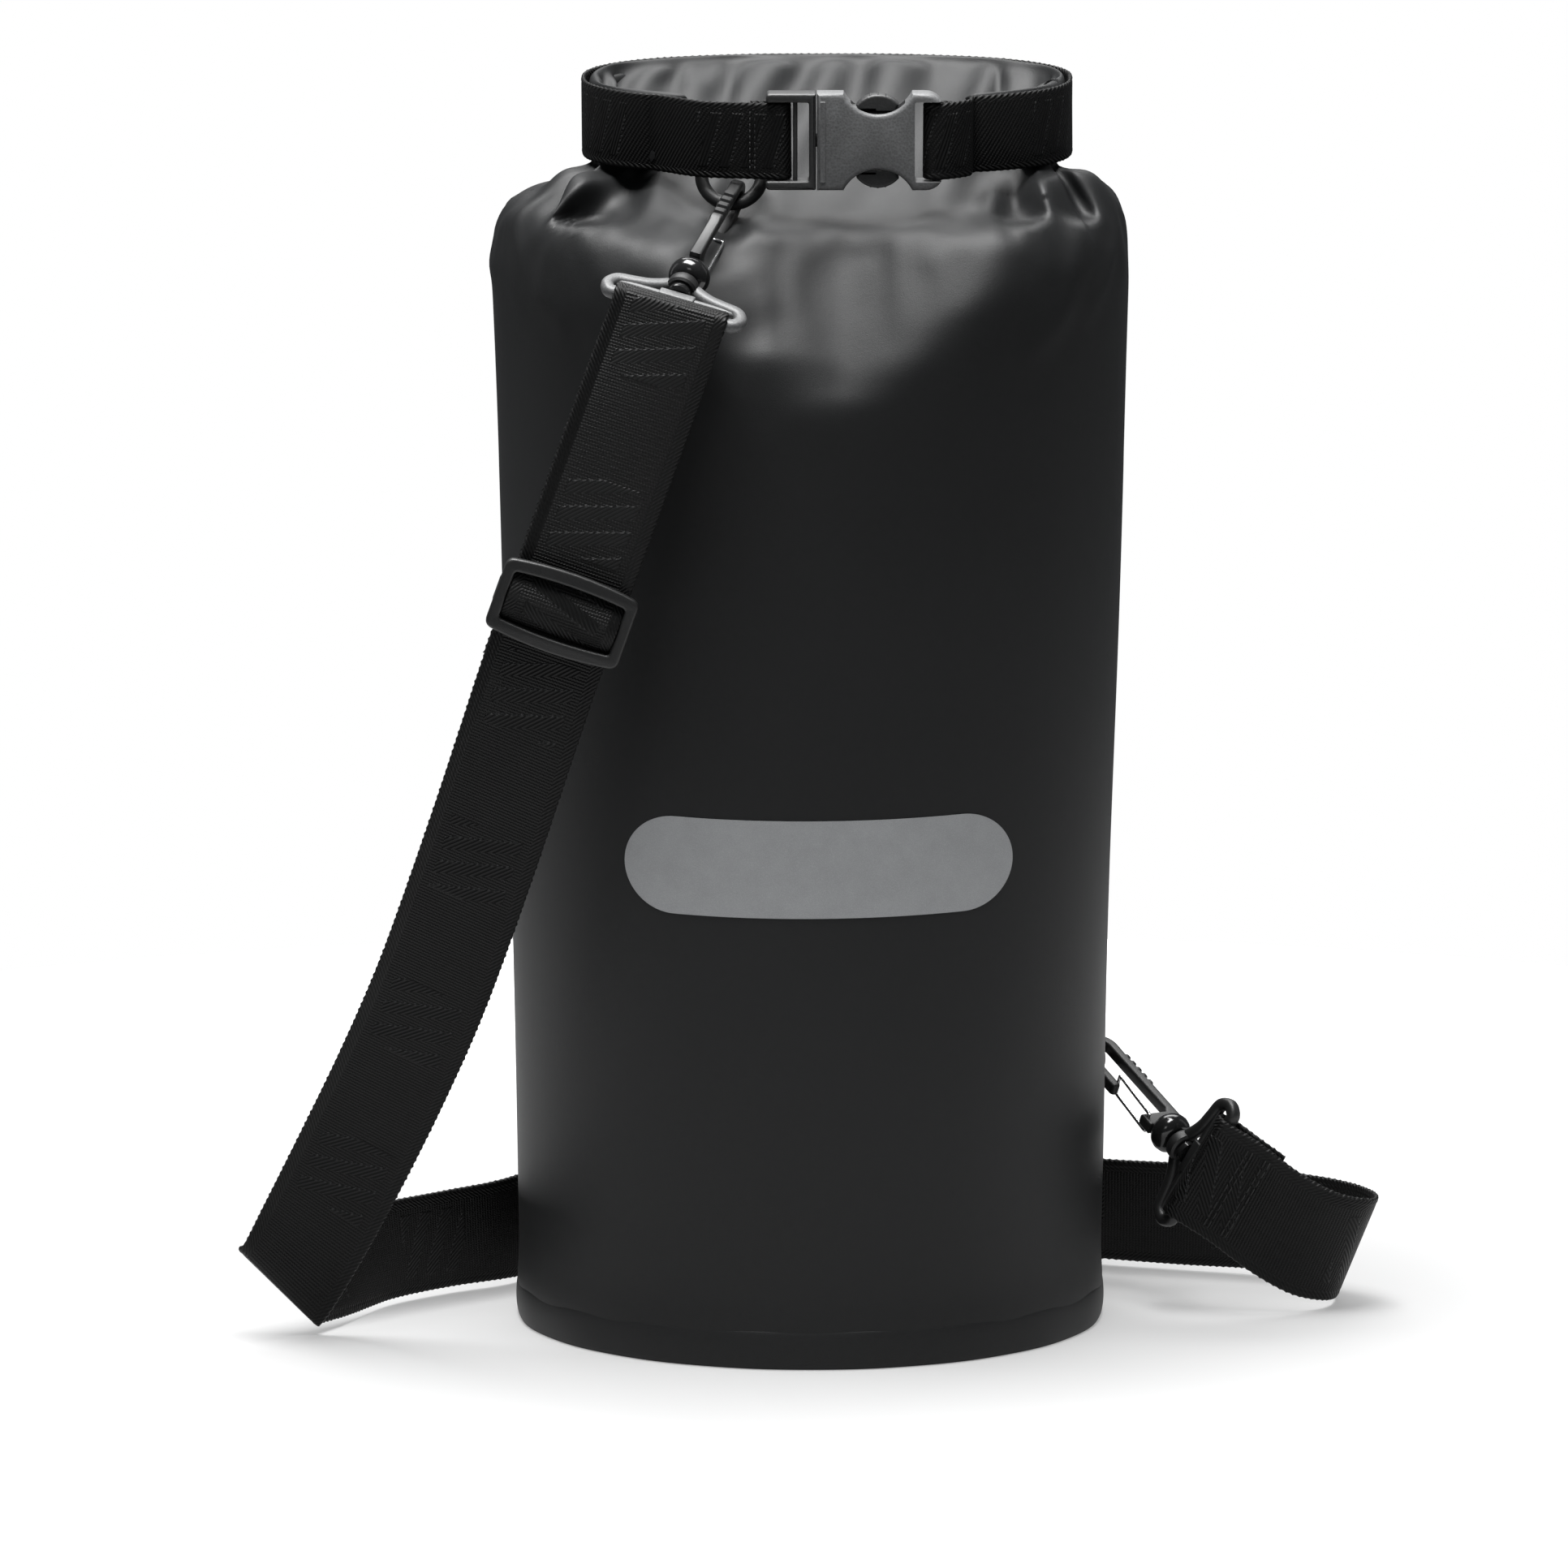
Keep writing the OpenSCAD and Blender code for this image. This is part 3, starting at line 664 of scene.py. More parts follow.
# ------------------------------------------------------------------ the shoulder strap (the free cord)
# centre of the webbing and the direction across it, in millimetres, from the sewn end at the slider
STOPS = [
    (-88, -94.4, 231, 36, 0, -13), (-80.4, -95.3, 252.3, 36, 0, -13), (-60.4, -97, 309, 36, -2, -12),
    (-49, -97.6, 341, 36, -7, -10), (-45.3, -97.9, 351.1, 36, -8, -9), (-44.8, -98.8, 354.2, 36, -8, -9),
    (-44.4, -101.2, 355, 36, -8, -9), (-45.1, -103.2, 354, 36, -8, -9), (-45.6, -104.2, 351.6, 36, -8, -9),
    (-49.3, -103.8, 341, 36, -7, -10), (-60.4, -102.6, 309, 36, -2, -12),
    (-80.4, -100.9, 252.3, 36, 0, -13), (-88, -100.2, 231, 36, 0, -13), (-96, -97, 206, 35, 0, -15),
    (-107, -88, 171, 35, 0, -15.5), (-122, -74, 126, 34.5, 0, -16), (-136, -61, 91, 34, 1, -17),
    (-152, -49, 56, 32, 3, -19.5), (-164, -43, 32, 29, 5, -24), (-171.5, -41.5, 18.6, 26.5, 7, -28),
    (-173.5, -39.5, 16.6, 26.5, 7, -28), (-172, -37, 16.8, 26, 8, -28), (-163, -27, 18.2, 20, 10, -31),
    (-150, -11, 19.2, 10, 14, -34), (-137, 6, 19.6, 3, 15, -35), (-118, 24, 19.8, 1, 15, -35),
    (-99, 40, 20, 1, 13, -35.7), (-76, 72, 20, -3, 4, -37.7), (-40, 97, 20, -1, 2, -38),
    (0, 105, 20, 0, 2, -38), (38, 99, 20, 0, 6, -37.5), (68, 88, 20, 0, 11, -36.4),
    (94, 73, 20, 0, 13, -35.7), (120, 64, 20, 0, 12, -36), (146, 55, 20, -4, 13, -35.5),
    (163, 45, 20, -7, 13, -35), (174, 32, 19.5, -10, 10, -35), (179, 17, 19.2, -13, 7, -35),
    (176, 4, 20, -15, 5, -34.6), (165, -3, 23.5, -15, 5, -34.5), (152, -4.5, 31, -16, 6, -34),
    (139, -5.2, 41, -17.5, 6.5, -33), (127.8, -5.1, 48.2, -18.3, 6.5, -32.6),
    (125.8, -3.9, 49.5, -18.3, 6.5, -32.6), (125.3, -1.7, 50.2, -18.3, 6.5, -32.6),
    (126.6, 0.5, 49.9, -18.3, 6.5, -32.6), (128.6, 1.2, 48.9, -18.3, 6.5, -32.6),
    (133.4, -0.5, 45.8, -18, 6.5, -32.8), (139, -2.7, 42, -17.5, 6.5, -33),
    (147, -2.3, 36.2, -17, 6.5, -33)]


def strap_line():
    out, n = [], len(STOPS)
    for i in range(n - 1):
        q = [STOPS[max(0, i - 1)], STOPS[i], STOPS[i + 1], STOPS[min(n - 1, i + 2)]]
        a, b, c, d = [(Vector(x[:3]), Vector(x[3:])) for x in q]
        m = max(3, int((c[0] - b[0]).length / 0.6))
        for k in range(m):
            centre, across = [spline(a[j], b[j], c[j], d[j], k / m) for j in (0, 1)]
            out.append((centre * MM, across))
    out.append((Vector(STOPS[-1][:3]) * MM, Vector(STOPS[-1][3:])))
    return out


line = strap_line()
strap_length = sum((line[i + 1][0] - line[i][0]).length for i in range(len(line) - 1))
print("strap length", round(strap_length, 4))
strap = ribbon("shoulder_strap_webbing", line, 0.038, 0.0016, WEB38, scallop=0.0004)
place(strap, "bag", ["shoulder_strap"])
[tuple(p) for p, _ in line[::10]] + [tuple(line[-1][0])]


# ------------------------------------------------------------------ bag body
BASE_R = 0.095
RING_Z, WEB_W, LOOP_CX, LOOP_CY = 0.385, 0.025, 0.0055, 0.004
RING_A, RING_B = 0.080, 0.044
AROUND = 128          # columns of fabric round the bag
SIM_Z0 = 0.27         # above this the fabric is simulated
BODY_TOP = 0.356      # the body is straight up to here
MOUTH_Z = 0.4085      # the gathered edge
UNDER_LOOP = 0.3825   # the fabric outside the closure stays below this
GAP = 0.0022          # from the loop's or the wall's middle surface to what is inside it
BACK_ROWS = 5         # rows of the back layer that stand pinned inside the loop


def half_a(z):
    return BASE_R + 0.0095 * (min(max(z, 0), BODY_TOP) / BODY_TOP) ** 1.3


def half_b(z):
    return 2 * BASE_R - half_a(z)


def loop_point(p, inset):
    """The closure loop in plan at angle p in radians, inset inwards from its outer face."""
    return Vector(((RING_A - inset) * signed_pow(math.cos(p), 0.82) + LOOP_CX,
                   (RING_B - inset) * signed_pow(math.sin(p), 0.82) + LOOP_CY))


def sway(angle, z):
    """Slow unevenness of a filled fabric tube, up to 0.7 mm."""
    fade = min(1.0, max(0.0, (z - 0.015) / 0.05))
    return fade * 0.00032 * (math.sin(3 * angle + 9 * z) + 0.7 * math.sin(5 * angle - 21 * z + 1.3)
                             + 0.5 * math.sin(2 * angle + 33 * z + 0.4))


def body_point(angle, z):
    """A point on the filled body, which is tucked in at the foot and stands out over the welt."""
    d = sway(angle, z) + 0.0010 * (1 - ease((z - 0.009) / 0.014)) * ease(z / 0.006)
    tuck = 0.0016 * max(0.0, 1 - z / 0.016) ** 2
    return Vector(((half_a(z) + d - tuck) * math.cos(angle), (half_b(z) + d - tuck) * math.sin(angle), z))


def even(points, n):
    """n points at even steps along a line."""
    P = np.array([list(p) for p in points])
    s = np.concatenate([[0], np.cumsum(np.linalg.norm(np.diff(P, axis=0), axis=1))])
    t = np.linspace(0, s[-1], n)
    return [Vector([np.interp(v, s, P[:, k]) for k in range(P.shape[1])]) for v in t]


def ease(x):
    x = max(0.0, min(1.0, x))
    return x * x * (3 - 2 * x)


def fabric_height(angle):
    """Height of the cut edge if the tube stood straight: most at the front, which crosses the mouth."""
    front = max(0.0, -math.sin(angle))
    back = max(0.0, math.sin(angle))
    if front > 0:
        return 0.430 + 0.022 * (1 - ease(front)) + 0.050 * ease((front - 0.35) / 0.65)
    return 0.452 - 0.006 * ease(back)


def mouth_edge():
    """Where each column of the top edge ends: the front half inside the rolled mouth, the back outside."""
    plan = even([loop_point(math.radians(a), GAP) for a in np.linspace(238, -58, 300)], AROUND // 2 + 1)
    out = []
    for k in range(AROUND):
        front = k <= AROUND // 2
        p = plan[k if front else AROUND - k]
        d = (p - Vector((LOOP_CX, LOOP_CY))).normalized() * (0.0048 if front else 0.0)
        if front:
            d *= 0.75 + 0.28 * math.sin(0.71 * k) + 0.16 * math.sin(1.37 * k + 1)
        out.append((p.x - d.x, p.y - d.y))
    return out


def is_back(k):
    return AROUND // 2 + 3 <= k < AROUND - 2


ROWS = int((0.480 - SIM_Z0) / (2 * math.pi * 0.0952 / AROUND))


def straight_tube():
    verts = []
    for j in range(ROWS + 1):
        for k in range(AROUND):
            angle = math.pi + 2 * math.pi * k / AROUND
            z = SIM_Z0 + (fabric_height(angle) - SIM_Z0) * j / ROWS
            p = body_point(angle, min(z, BODY_TOP))
            verts.append((p.x, p.y, z))
    return verts


def collider(name, verts, faces, keys, friction):
    """Something the cloth rests on; keys are its height at frames."""
    obj = add_object(name, raw_mesh(name, verts, faces))
    obj.modifiers.new("collide", "COLLISION")
    obj.collision.thickness_outer = 0.0008
    obj.collision.thickness_inner = 0.004
    obj.collision.cloth_friction = friction
    for f, dz in keys:
        obj.location.z = dz
        obj.keyframe_insert("location", frame=f)
    return obj


FACET_SLOPE = 0.72


def facet_edge(x):
    """Height where the front panel leaves the round body: lowest in the middle, higher to the sides."""
    right, left = max(0.0, x - 0.013), max(0.0, -0.012 - x)
    return 0.316 + 0.74 * right + 0.8 * left + 0.010 * ease((0.013 - x) / 0.026)


def filling():
    """What is in the bag: full to the shoulders, lower and leaning back at the front."""
    around, verts, levels = 96, [], [(1.0, 0.2 + 0.142 * i / 11) for i in range(12)]
    for i in range(1, 15):
        t = i / 14 * math.pi / 2 * 0.98
        size = 1 - 0.26 * (1 - math.cos(t)) - 0.72 * max(0, (i - 7) / 7) ** 1.5
        levels.append((size, 0.342 + 0.028 * math.sin(t)))
    for i, (front_s, front_z) in enumerate(levels):
        step = max(0.0, (i - 11) / 14)
        for k in range(around):
            g = 2 * math.pi * k / around
            side = math.cos(g) ** 2
            t = step * math.pi / 2
            side_s = 1 - 0.13 * (1 - math.cos(t)) - 0.85 * max(0.0, (i - 18) / 7) ** 1.5
            s = front_s * (1 - side) + side_s * side
            z = front_z + 0.008 * side * math.sin(t)
            a, b = half_a(z) - GAP, half_b(z) - GAP
            x, y = a * s * math.cos(g) + LOOP_CX * (1 - s), b * s * math.sin(g) + LOOP_CY * (1 - s)
            if y < 0:
                wall = -b * math.sqrt(max(0.0, 1 - (x / half_a(z)) ** 2))
                y = max(y, wall + FACET_SLOPE * max(0.0, z - facet_edge(x)))
            verts.append((x, y, z))
    n = len(levels)
    return verts, grid_faces(n - 1, around) + [tuple((n - 1) * around + k for k in range(around))]


def simulate_top(edge):
    """The top as cloth: its edge is gathered to the mouth, then the closure and hook come down on it."""
    verts = straight_tube()
    obj = add_object("cloth", raw_mesh("cloth", verts, grid_faces(ROWS, AROUND)))
    pins = obj.vertex_groups.new(name="pin")

    def pin_top(v):
        g = math.atan2(v[1], v[0])
        return 0.312 + 0.034 * math.cos(g) ** 2 - 0.012 * max(0, -math.sin(g)) ** 4

    pins.add([i for i, v in enumerate(verts) if v[2] < pin_top(v)], 1.0, "REPLACE")
    pins.add(list(range(ROWS * AROUND, (ROWS + 1) * AROUND)), 1.0, "REPLACE")
    for j in range(ROWS - BACK_ROWS, ROWS):
        pins.add([j * AROUND + k for k in range(AROUND) if is_back(k)], 1.0, "REPLACE")
    obj.shape_key_add(name="Basis")
    key = obj.shape_key_add(name="gathered")
    for k in range(AROUND):
        x, y = edge[k]
        for q in range(BACK_ROWS + 1 if is_back(k) else 2):
            key.data[(ROWS - q) * AROUND + k].co = (x, y, MOUTH_Z - q * (0.0044 if is_back(k) else 0.0035))
    key.value = 0
    key.keyframe_insert("value", frame=1)
    key.value = 1
    key.keyframe_insert("value", frame=36)

    made = []
    v, f = filling()
    made.append(collider("filling", v, f, [(1, 0.0)], 4))
    m, v = 72, []
    for inset, zs in ((0.0, (0.3855, 0.392, 0.401, 0.410)), (0.0014, (0.410, 0.401, 0.392, 0.3855))):
        for z in zs:
            for k in range(m):
                p = loop_point(2 * math.pi * k / m, inset)
                v.append((p.x, p.y, z))
    f = grid_faces(8, m, 8 * m)
    come_down = [(1, 0.12), (28, 0.10), (50, 0.0)]
    made.append(collider("closure", v, f, come_down, 3))
    a0, a1 = Vector((-0.0392, -0.0905, 0.3595)), Vector((-0.0235, -0.036, 0.3790))
    ax = (a1 - a0).normalized()
    e1 = Vector((1, 0, 0)) - ax * ax.x
    e1.normalize()
    e2 = ax.cross(e1)
    m, v = 16, []
    prof = [(0, 0.002), (0, 0.0082), (0.35, 0.0082), (0.7, 0.0080), (1, 0.0078), (1.12, 0.003)]
    for t, r in prof:
        v += [a0 + (a1 - a0) * t + e1 * x * min(r, 0.0055) + e2 * y * r for x, y in circle(m)]
    f = grid_faces(len(prof) - 1, m) + [tuple(range(m)), tuple(range((len(prof) - 1) * m, len(prof) * m))]
    made.append(collider("hook_shape", v, f, come_down, 0.5))

    mod = obj.modifiers.new("cloth", "CLOTH")
    s = mod.settings
    s.quality, s.mass = 6, 0.25
    s.tension_stiffness, s.compression_stiffness, s.shear_stiffness = 25, 25, 8
    s.bending_model = "ANGULAR"
    s.bending_stiffness = 4
    s.tension_damping, s.compression_damping, s.shear_damping, s.bending_damping = 10, 10, 5, 1.0
    s.air_damping = 2
    s.vertex_group_mass, s.pin_stiffness = "pin", 50
    s.effector_weights.gravity = 0.6
    s.use_pressure, s.uniform_pressure_force = True, 1.5
    c = mod.collision_settings
    c.collision_quality, c.distance_min = 3, 0.0008
    c.use_self_collision, c.self_distance_min, c.self_friction = True, 0.0012, 2
    end = 64
    mod.point_cache.frame_start, mod.point_cache.frame_end = 1, end
    scene.frame_start, scene.frame_end = 1, end
    for f in range(1, end + 1):
        scene.frame_set(f)
    res = bpy.data.meshes.new_from_object(obj.evaluated_get(bpy.context.evaluated_depsgraph_get()))
    out = [tuple(v.co) for v in res.vertices]
    scene.frame_set(1)
    for o in made + [obj]:
        bpy.data.objects.remove(o)
    bpy.data.meshes.remove(res)
    return out


# Pleats pressed in beside the mouth, and two shallow hollows under the hook, in millimetres as the eye in
# front sees them: (across, height of the lip, half width, rise, lean, depth)
SIGHT_UP, SIGHT_IN = 0.982, 0.187     # cosine and sine of the camera's height angle
PLEATS = [(-72.5, 353.2, 16.0, 24, 0.70, 19.0), (69.0, 354.2, 11.0, 23, -0.15, 14.0),
          (88.5, 354.6, 8.0, 20, -0.50, 11.0), (-20.0, 309.0, 20.0, 40, 0.10, 2.0),
          (-31.0, 335.0, 15.0, 32, 0.45, 3.2)]


def press_pleats(P):
    """Push the fabric straight away from the eye inside each pleat; sharp at the lip, fading upwards."""
    for x0, h0, wide, rise, lean, depth in PLEATS:
        seen = (SIGHT_UP * P[..., 2] + SIGHT_IN * P[..., 1]) * 1000
        x = P[..., 0] * 1000
        up = seen - h0
        u = (x - x0 - lean * up) / (wide * (1 - 0.3 * np.clip(up / rise, 0, 1)))
        up = up - 2.2 * u * u
        v = np.clip(up / rise, 0, 1)
        lip = np.clip(up / (2.6 if depth > 4 else 14.0), 0, 1)
        amount = lip * lip * (3 - 2 * lip) * (1 - v) ** 0.7 * np.clip(1 - u * u, 0, 1) ** 1.5
        amount = np.where(P[..., 1] < 0.0, amount, 0) * depth * MM
        P[..., 1] += amount * SIGHT_UP
        P[..., 2] -= amount * SIGHT_IN
    return P


def keep_in_loop(P):
    """Nothing stands through the webbing loop: inside it stays inside, outside it stays below."""
    for j in range(P.shape[0] - 1):
        for k in range(AROUND):
            x, y, z = P[j, k]
            if z < UNDER_LOOP or (is_back(k) and j >= ROWS - BACK_ROWS):
                continue
            a, b = RING_A - GAP, RING_B - GAP
            dx, dy = x - LOOP_CX, y - LOOP_CY
            out = ((abs(dx) / a) ** 2.44 + (abs(dy) / b) ** 2.44) ** (1 / 2.44)
            if out > 1.05:
                P[j, k, 2] = min(z, UNDER_LOOP + 0.1 * (z - UNDER_LOOP))
            elif out > 1 and z > UNDER_LOOP:
                P[j, k, 0], P[j, k, 1] = LOOP_CX + dx / out, LOOP_CY + dy / out
    return P


def settle(top):
    """Small repairs after the simulation: evened out, and kept on its own side of the closure."""
    P = keep_in_loop(np.array(top).reshape(ROWS + 1, AROUND, 3))
    for _ in range(3):
        Q = P.copy()
        near = (np.roll(P, 1, 1) + np.roll(P, -1, 1))[1:-1] / 4 + (P[2:] + P[:-2]) / 4
        w = np.full(P[1:-1].shape[:2], 0.25)
        high = P[1:-1, :, 2] > 0.375
        out = np.hypot((P[1:-1, :, 0] - LOOP_CX) / RING_A, (P[1:-1, :, 1] - LOOP_CY) / RING_B) > 0.8
        w[high & out] = 0.7
        w[-4:] = 0
        w[:3] = 0
        Q[1:-1] = P[1:-1] * (1 - w[..., None]) + near * w[..., None]
        P = Q
    return [tuple(p) for p in keep_in_loop(P).reshape(-1, 3)]


def bag_fabric():
    edge = mouth_edge()
    top = settle(simulate_top(edge))
    low_z = [0.0012, 0.004, 0.009, 0.014] + [0.02 + 0.005 * i for i in range(int((SIM_Z0 - 0.02) / 0.005))]
    verts = [tuple(body_point(math.pi + 2 * math.pi * k / AROUND, z)) for z in low_z for k in range(AROUND)]
    verts += top
    rows = len(low_z) + ROWS
    faces = grid_faces(rows, AROUND)
    # the rolled top: over the mouth from the front layer to the back layer
    base, half = rows * AROUND, AROUND // 2
    caps = []
    for k in range(1, half):
        a, b = Vector(verts[base + k]), Vector(verts[base + AROUND - k])
        row = [base + k]
        for t in (0.25, 0.5, 0.75):
            row.append(len(verts))
            verts.append(tuple(a.lerp(b, t) + Vector((0, 0, 0.0022 * math.sin(math.pi * t)))))
        row.append(base + AROUND - k)
        caps.append(row)
    for r0, r1 in zip(caps, caps[1:]):
        for q in range(4):
            faces.append((r0[q], r1[q], r1[q + 1], r0[q + 1]))
    for row, tip in ((caps[0], base), (caps[-1], base + half)):
        for q in range(4):
            faces.append((row[q], row[q + 1], tip))
    obj = mesh_object("bag_fabric_shell", verts, faces, FABRIC, angle=75)
    sub = obj.modifiers.new("finer", "SUBSURF")
    sub.levels = sub.render_levels = 1
    apply_all(obj)
    count = len(obj.data.vertices)
    co = np.zeros(count * 3, dtype=np.float32)
    obj.data.vertices.foreach_get("co", co)
    P = co.reshape(-1, 3).astype(float)
    pick = (P[:, 2] > 0.27) & (P[:, 2] < 0.386)
    P[pick] = press_pleats(P[pick])
    obj.data.vertices.foreach_set("co", P.astype(np.float32).ravel())
    return finish_mesh(obj, 80)


bag = bag_fabric()
place(bag, "bag", ["body_shell"])


def base_parts():
    """The rounded welt over the weld, and the disc inside it."""
    prof = []
    for i in range(15):
        t = i / 14
        prof.append((95.15 + 1.05 * max(0.0, math.sin(math.pi * t)) ** 0.55, 13.0 * t))
    inside = [(94.9, 13.2), (94.4, 12.4), (94.2, 6), (94.3, 1), (94.6, 0.15)]
    prof = [inside[-1]] + prof + inside
    welt = lathe("base_weld_welt", prof, FABRIC, Matrix.Identity(4), 160)
    for v in welt.data.vertices:
        g = math.atan2(v.co.y, v.co.x)
        if v.co.xy.length > 0.0950:
            v.co.x += 0.00012 * math.sin(17 * g) * math.cos(g)
            v.co.y += 0.00012 * math.sin(17 * g) * math.sin(g)
    place(welt, "bag", ["base_weld_band"])
    prof = [(0.001, 1.6), (40, 1.5), (75, 1.15), (88, 0.5), (91.5, 0.1), (93.2, 0.15), (94.0, 0.8),
            (94.1, 4.0), (93.4, 4.2), (93.1, 2.2), (90, 1.6), (75, 2.3), (40, 2.7), (0.001, 2.8)]
    disc = lathe("base_disc", prof, FABRIC, Matrix.Identity(4), 128)
    place(disc, "bag", ["base_panel"])


def reflective_bar():
    """A thin film on the front of the body, with round ends."""
    x0, x1, r, zc = -0.060, 0.066, 0.016, 0.165
    nx, nz, verts = 90, 10, []
    for lift in (0.00026, 0.00008):
        for i in range(nx + 1):
            x = x0 + (x1 - x0) * (0.5 - 0.5 * math.cos(math.pi * i / nx))
            past = max(x0 + r - x, x - (x1 - r), 0.0)
            h = max(1e-5, math.sqrt(max(0.0, r * r - past * past)))
            for j in range(nz + 1):
                z = zc - h + 2 * h * j / nz
                angle = -math.acos(max(-1, min(1, x / half_a(z))))
                verts.append(body_point(angle, z) + Vector((math.cos(angle), math.sin(angle), 0)) * lift)
    bar = mesh_object("reflective_bar", verts, film_faces(nx, nz), PRINT, angle=40, weld=1e-7)
    place(bar, "bag", ["reflective_mark"])


def seam_tape():
    verts, nz, na = [], 40, 8
    for lift in (0.0, 0.0005):
        for i in range(nz + 1):
            z = 0.014 + 0.322 * i / nz
            for j in range(na + 1):
                g = math.radians(90 + 12 * j / na)
                p = body_point(g, z)
                verts.append(p - Vector((math.cos(g), math.sin(g), 0)) * (0.0014 + lift))
    tape = mesh_object("back_seam_tape_film", verts, film_faces(nz, na), FABRIC)
    place(tape, "bag", ["back_seam_tape"])


base_parts()
reflective_bar()
seam_tape()


# ------------------------------------------------------------------ rolled mouth and closure webbing
def rolled_mouth():
    path = even([loop_point(math.radians(a), 0.0042) for a in np.linspace(237, -57, 240)], 150)
    coil = []
    turns, steps = 2.75, 16
    for q in range(int(turns * steps) + 1):
        g = 2 * math.pi * q / steps + math.pi / 2
        rad = 0.42 + 0.74 * q / steps
        c, s = math.cos(g), math.sin(g)
        coil.append(Vector((rad * c, 7.6 * math.tanh(3.2 * s) / math.tanh(3.2) + rad * s)) * MM)
    m, n = len(coil), len(path)
    section = []
    for way in (1, -1):
        skin = []
        for q, c in enumerate(coil):
            d = (coil[min(m - 1, q + 1)] - coil[max(0, q - 1)]).normalized()
            skin.append(c + Vector((-d.y, d.x)) * 0.00031 * way)
        section += skin[::way]
    verts = []
    for i, p in enumerate(path):
        d = (path[min(n - 1, i + 1)] - path[max(0, i - 1)]).normalized()
        verts += [(p.x - d.y * c.x, p.y + d.x * c.x, RING_Z + WEB_W / 2 + c.y) for c in section]
    roll = mesh_object("rolled_mouth_fabric", verts, band_faces(n - 1, 2 * m), FABRIC, angle=50)
    place(roll, "bag", ["mouth_roll"])


def closure_line(points):
    """A ribbon's line from points in millimetres, at the closure's height."""
    return [(Vector((x * MM, y * MM, RING_Z + WEB_W / 2)), Vector((0, 0, 1))) for x, y, _ in points]


def closure():
    bar_m, bar_f, by = -10.4, 40.9, -45.0

    def turn_round(x, way):
        """Round a buckle bar, from its back to its front."""
        return [(x + way * dx, by + dy)
                for dx, dy in ((0, 2.5), (2.2, 2.1), (3.6, 0), (2.2, -2.1), (0, -2.5))]

    left = [(bar_m - 9, -42.6)] + turn_round(bar_m, 1) + [(bar_m - 5, -46.6), (-30, -44.2), (-38, -41)]
    right = [(51.5, -40.6), (bar_f + 4, -46.4)] + turn_round(bar_f, -1)[::-1] + [(bar_f + 5, -42.9)]
    ring = [tuple(loop_point(math.radians(a), 0.0007) / MM) for a in range(230, -1, -4)]
    ring_r = [tuple(loop_point(math.radians(a), 0.0007) / MM) for a in range(-2, -59, -4)]
    a_pts = smooth_line([(x, y, 0) for x, y in left + ring], 0.6)
    b_pts = smooth_line([(x, y, 0) for x, y in [ring[-1]] + ring_r + right], 0.6)

    def dip(run, x):
        return 0.00012 * math.sin(run * 160) * x

    left_web, right_web = [
        ribbon("closure_webbing_" + side, closure_line(pts), WEB_W, 0.0014, WEB25,
               uv0=uv0, wave=dip, scallop=0.0003)
        for side, pts, uv0 in (("left", a_pts, 0.0), ("right", b_pts, 0.011))]
    place(left_web, "bag", ["closure_webbing"])
    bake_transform(right_web)

    def tack(name, places, normal):
        rows = [((x * MM, y, 0.3875), (x * MM, y, 0.4075), normal) for x, y in places]
        return stitches(name, rows, THREAD, 0.5, 1.6, 0.3)

    tack_l = tack("closure_tack_left", [(x, -0.0467) for x in (-19.6, -18.0)], (0, -1, 0))
    place(tack_l, "bag", ["closure_tacks"])
    slope = [(x, -0.0462 + (x - 44.9) * 0.00082) for x in (46.4, 48.0)]
    place(tack("closure_tack_right", slope, (0.5, -1, 0)), "buckle_female_half", [])


rolled_mouth()
closure()


# ------------------------------------------------------------------ side release buckle
AT_BUCKLE = move(2, -45, 397.5)
FLAT = AT_BUCKLE @ turn(90)      # outline X, Z in millimetres; thickness along Y


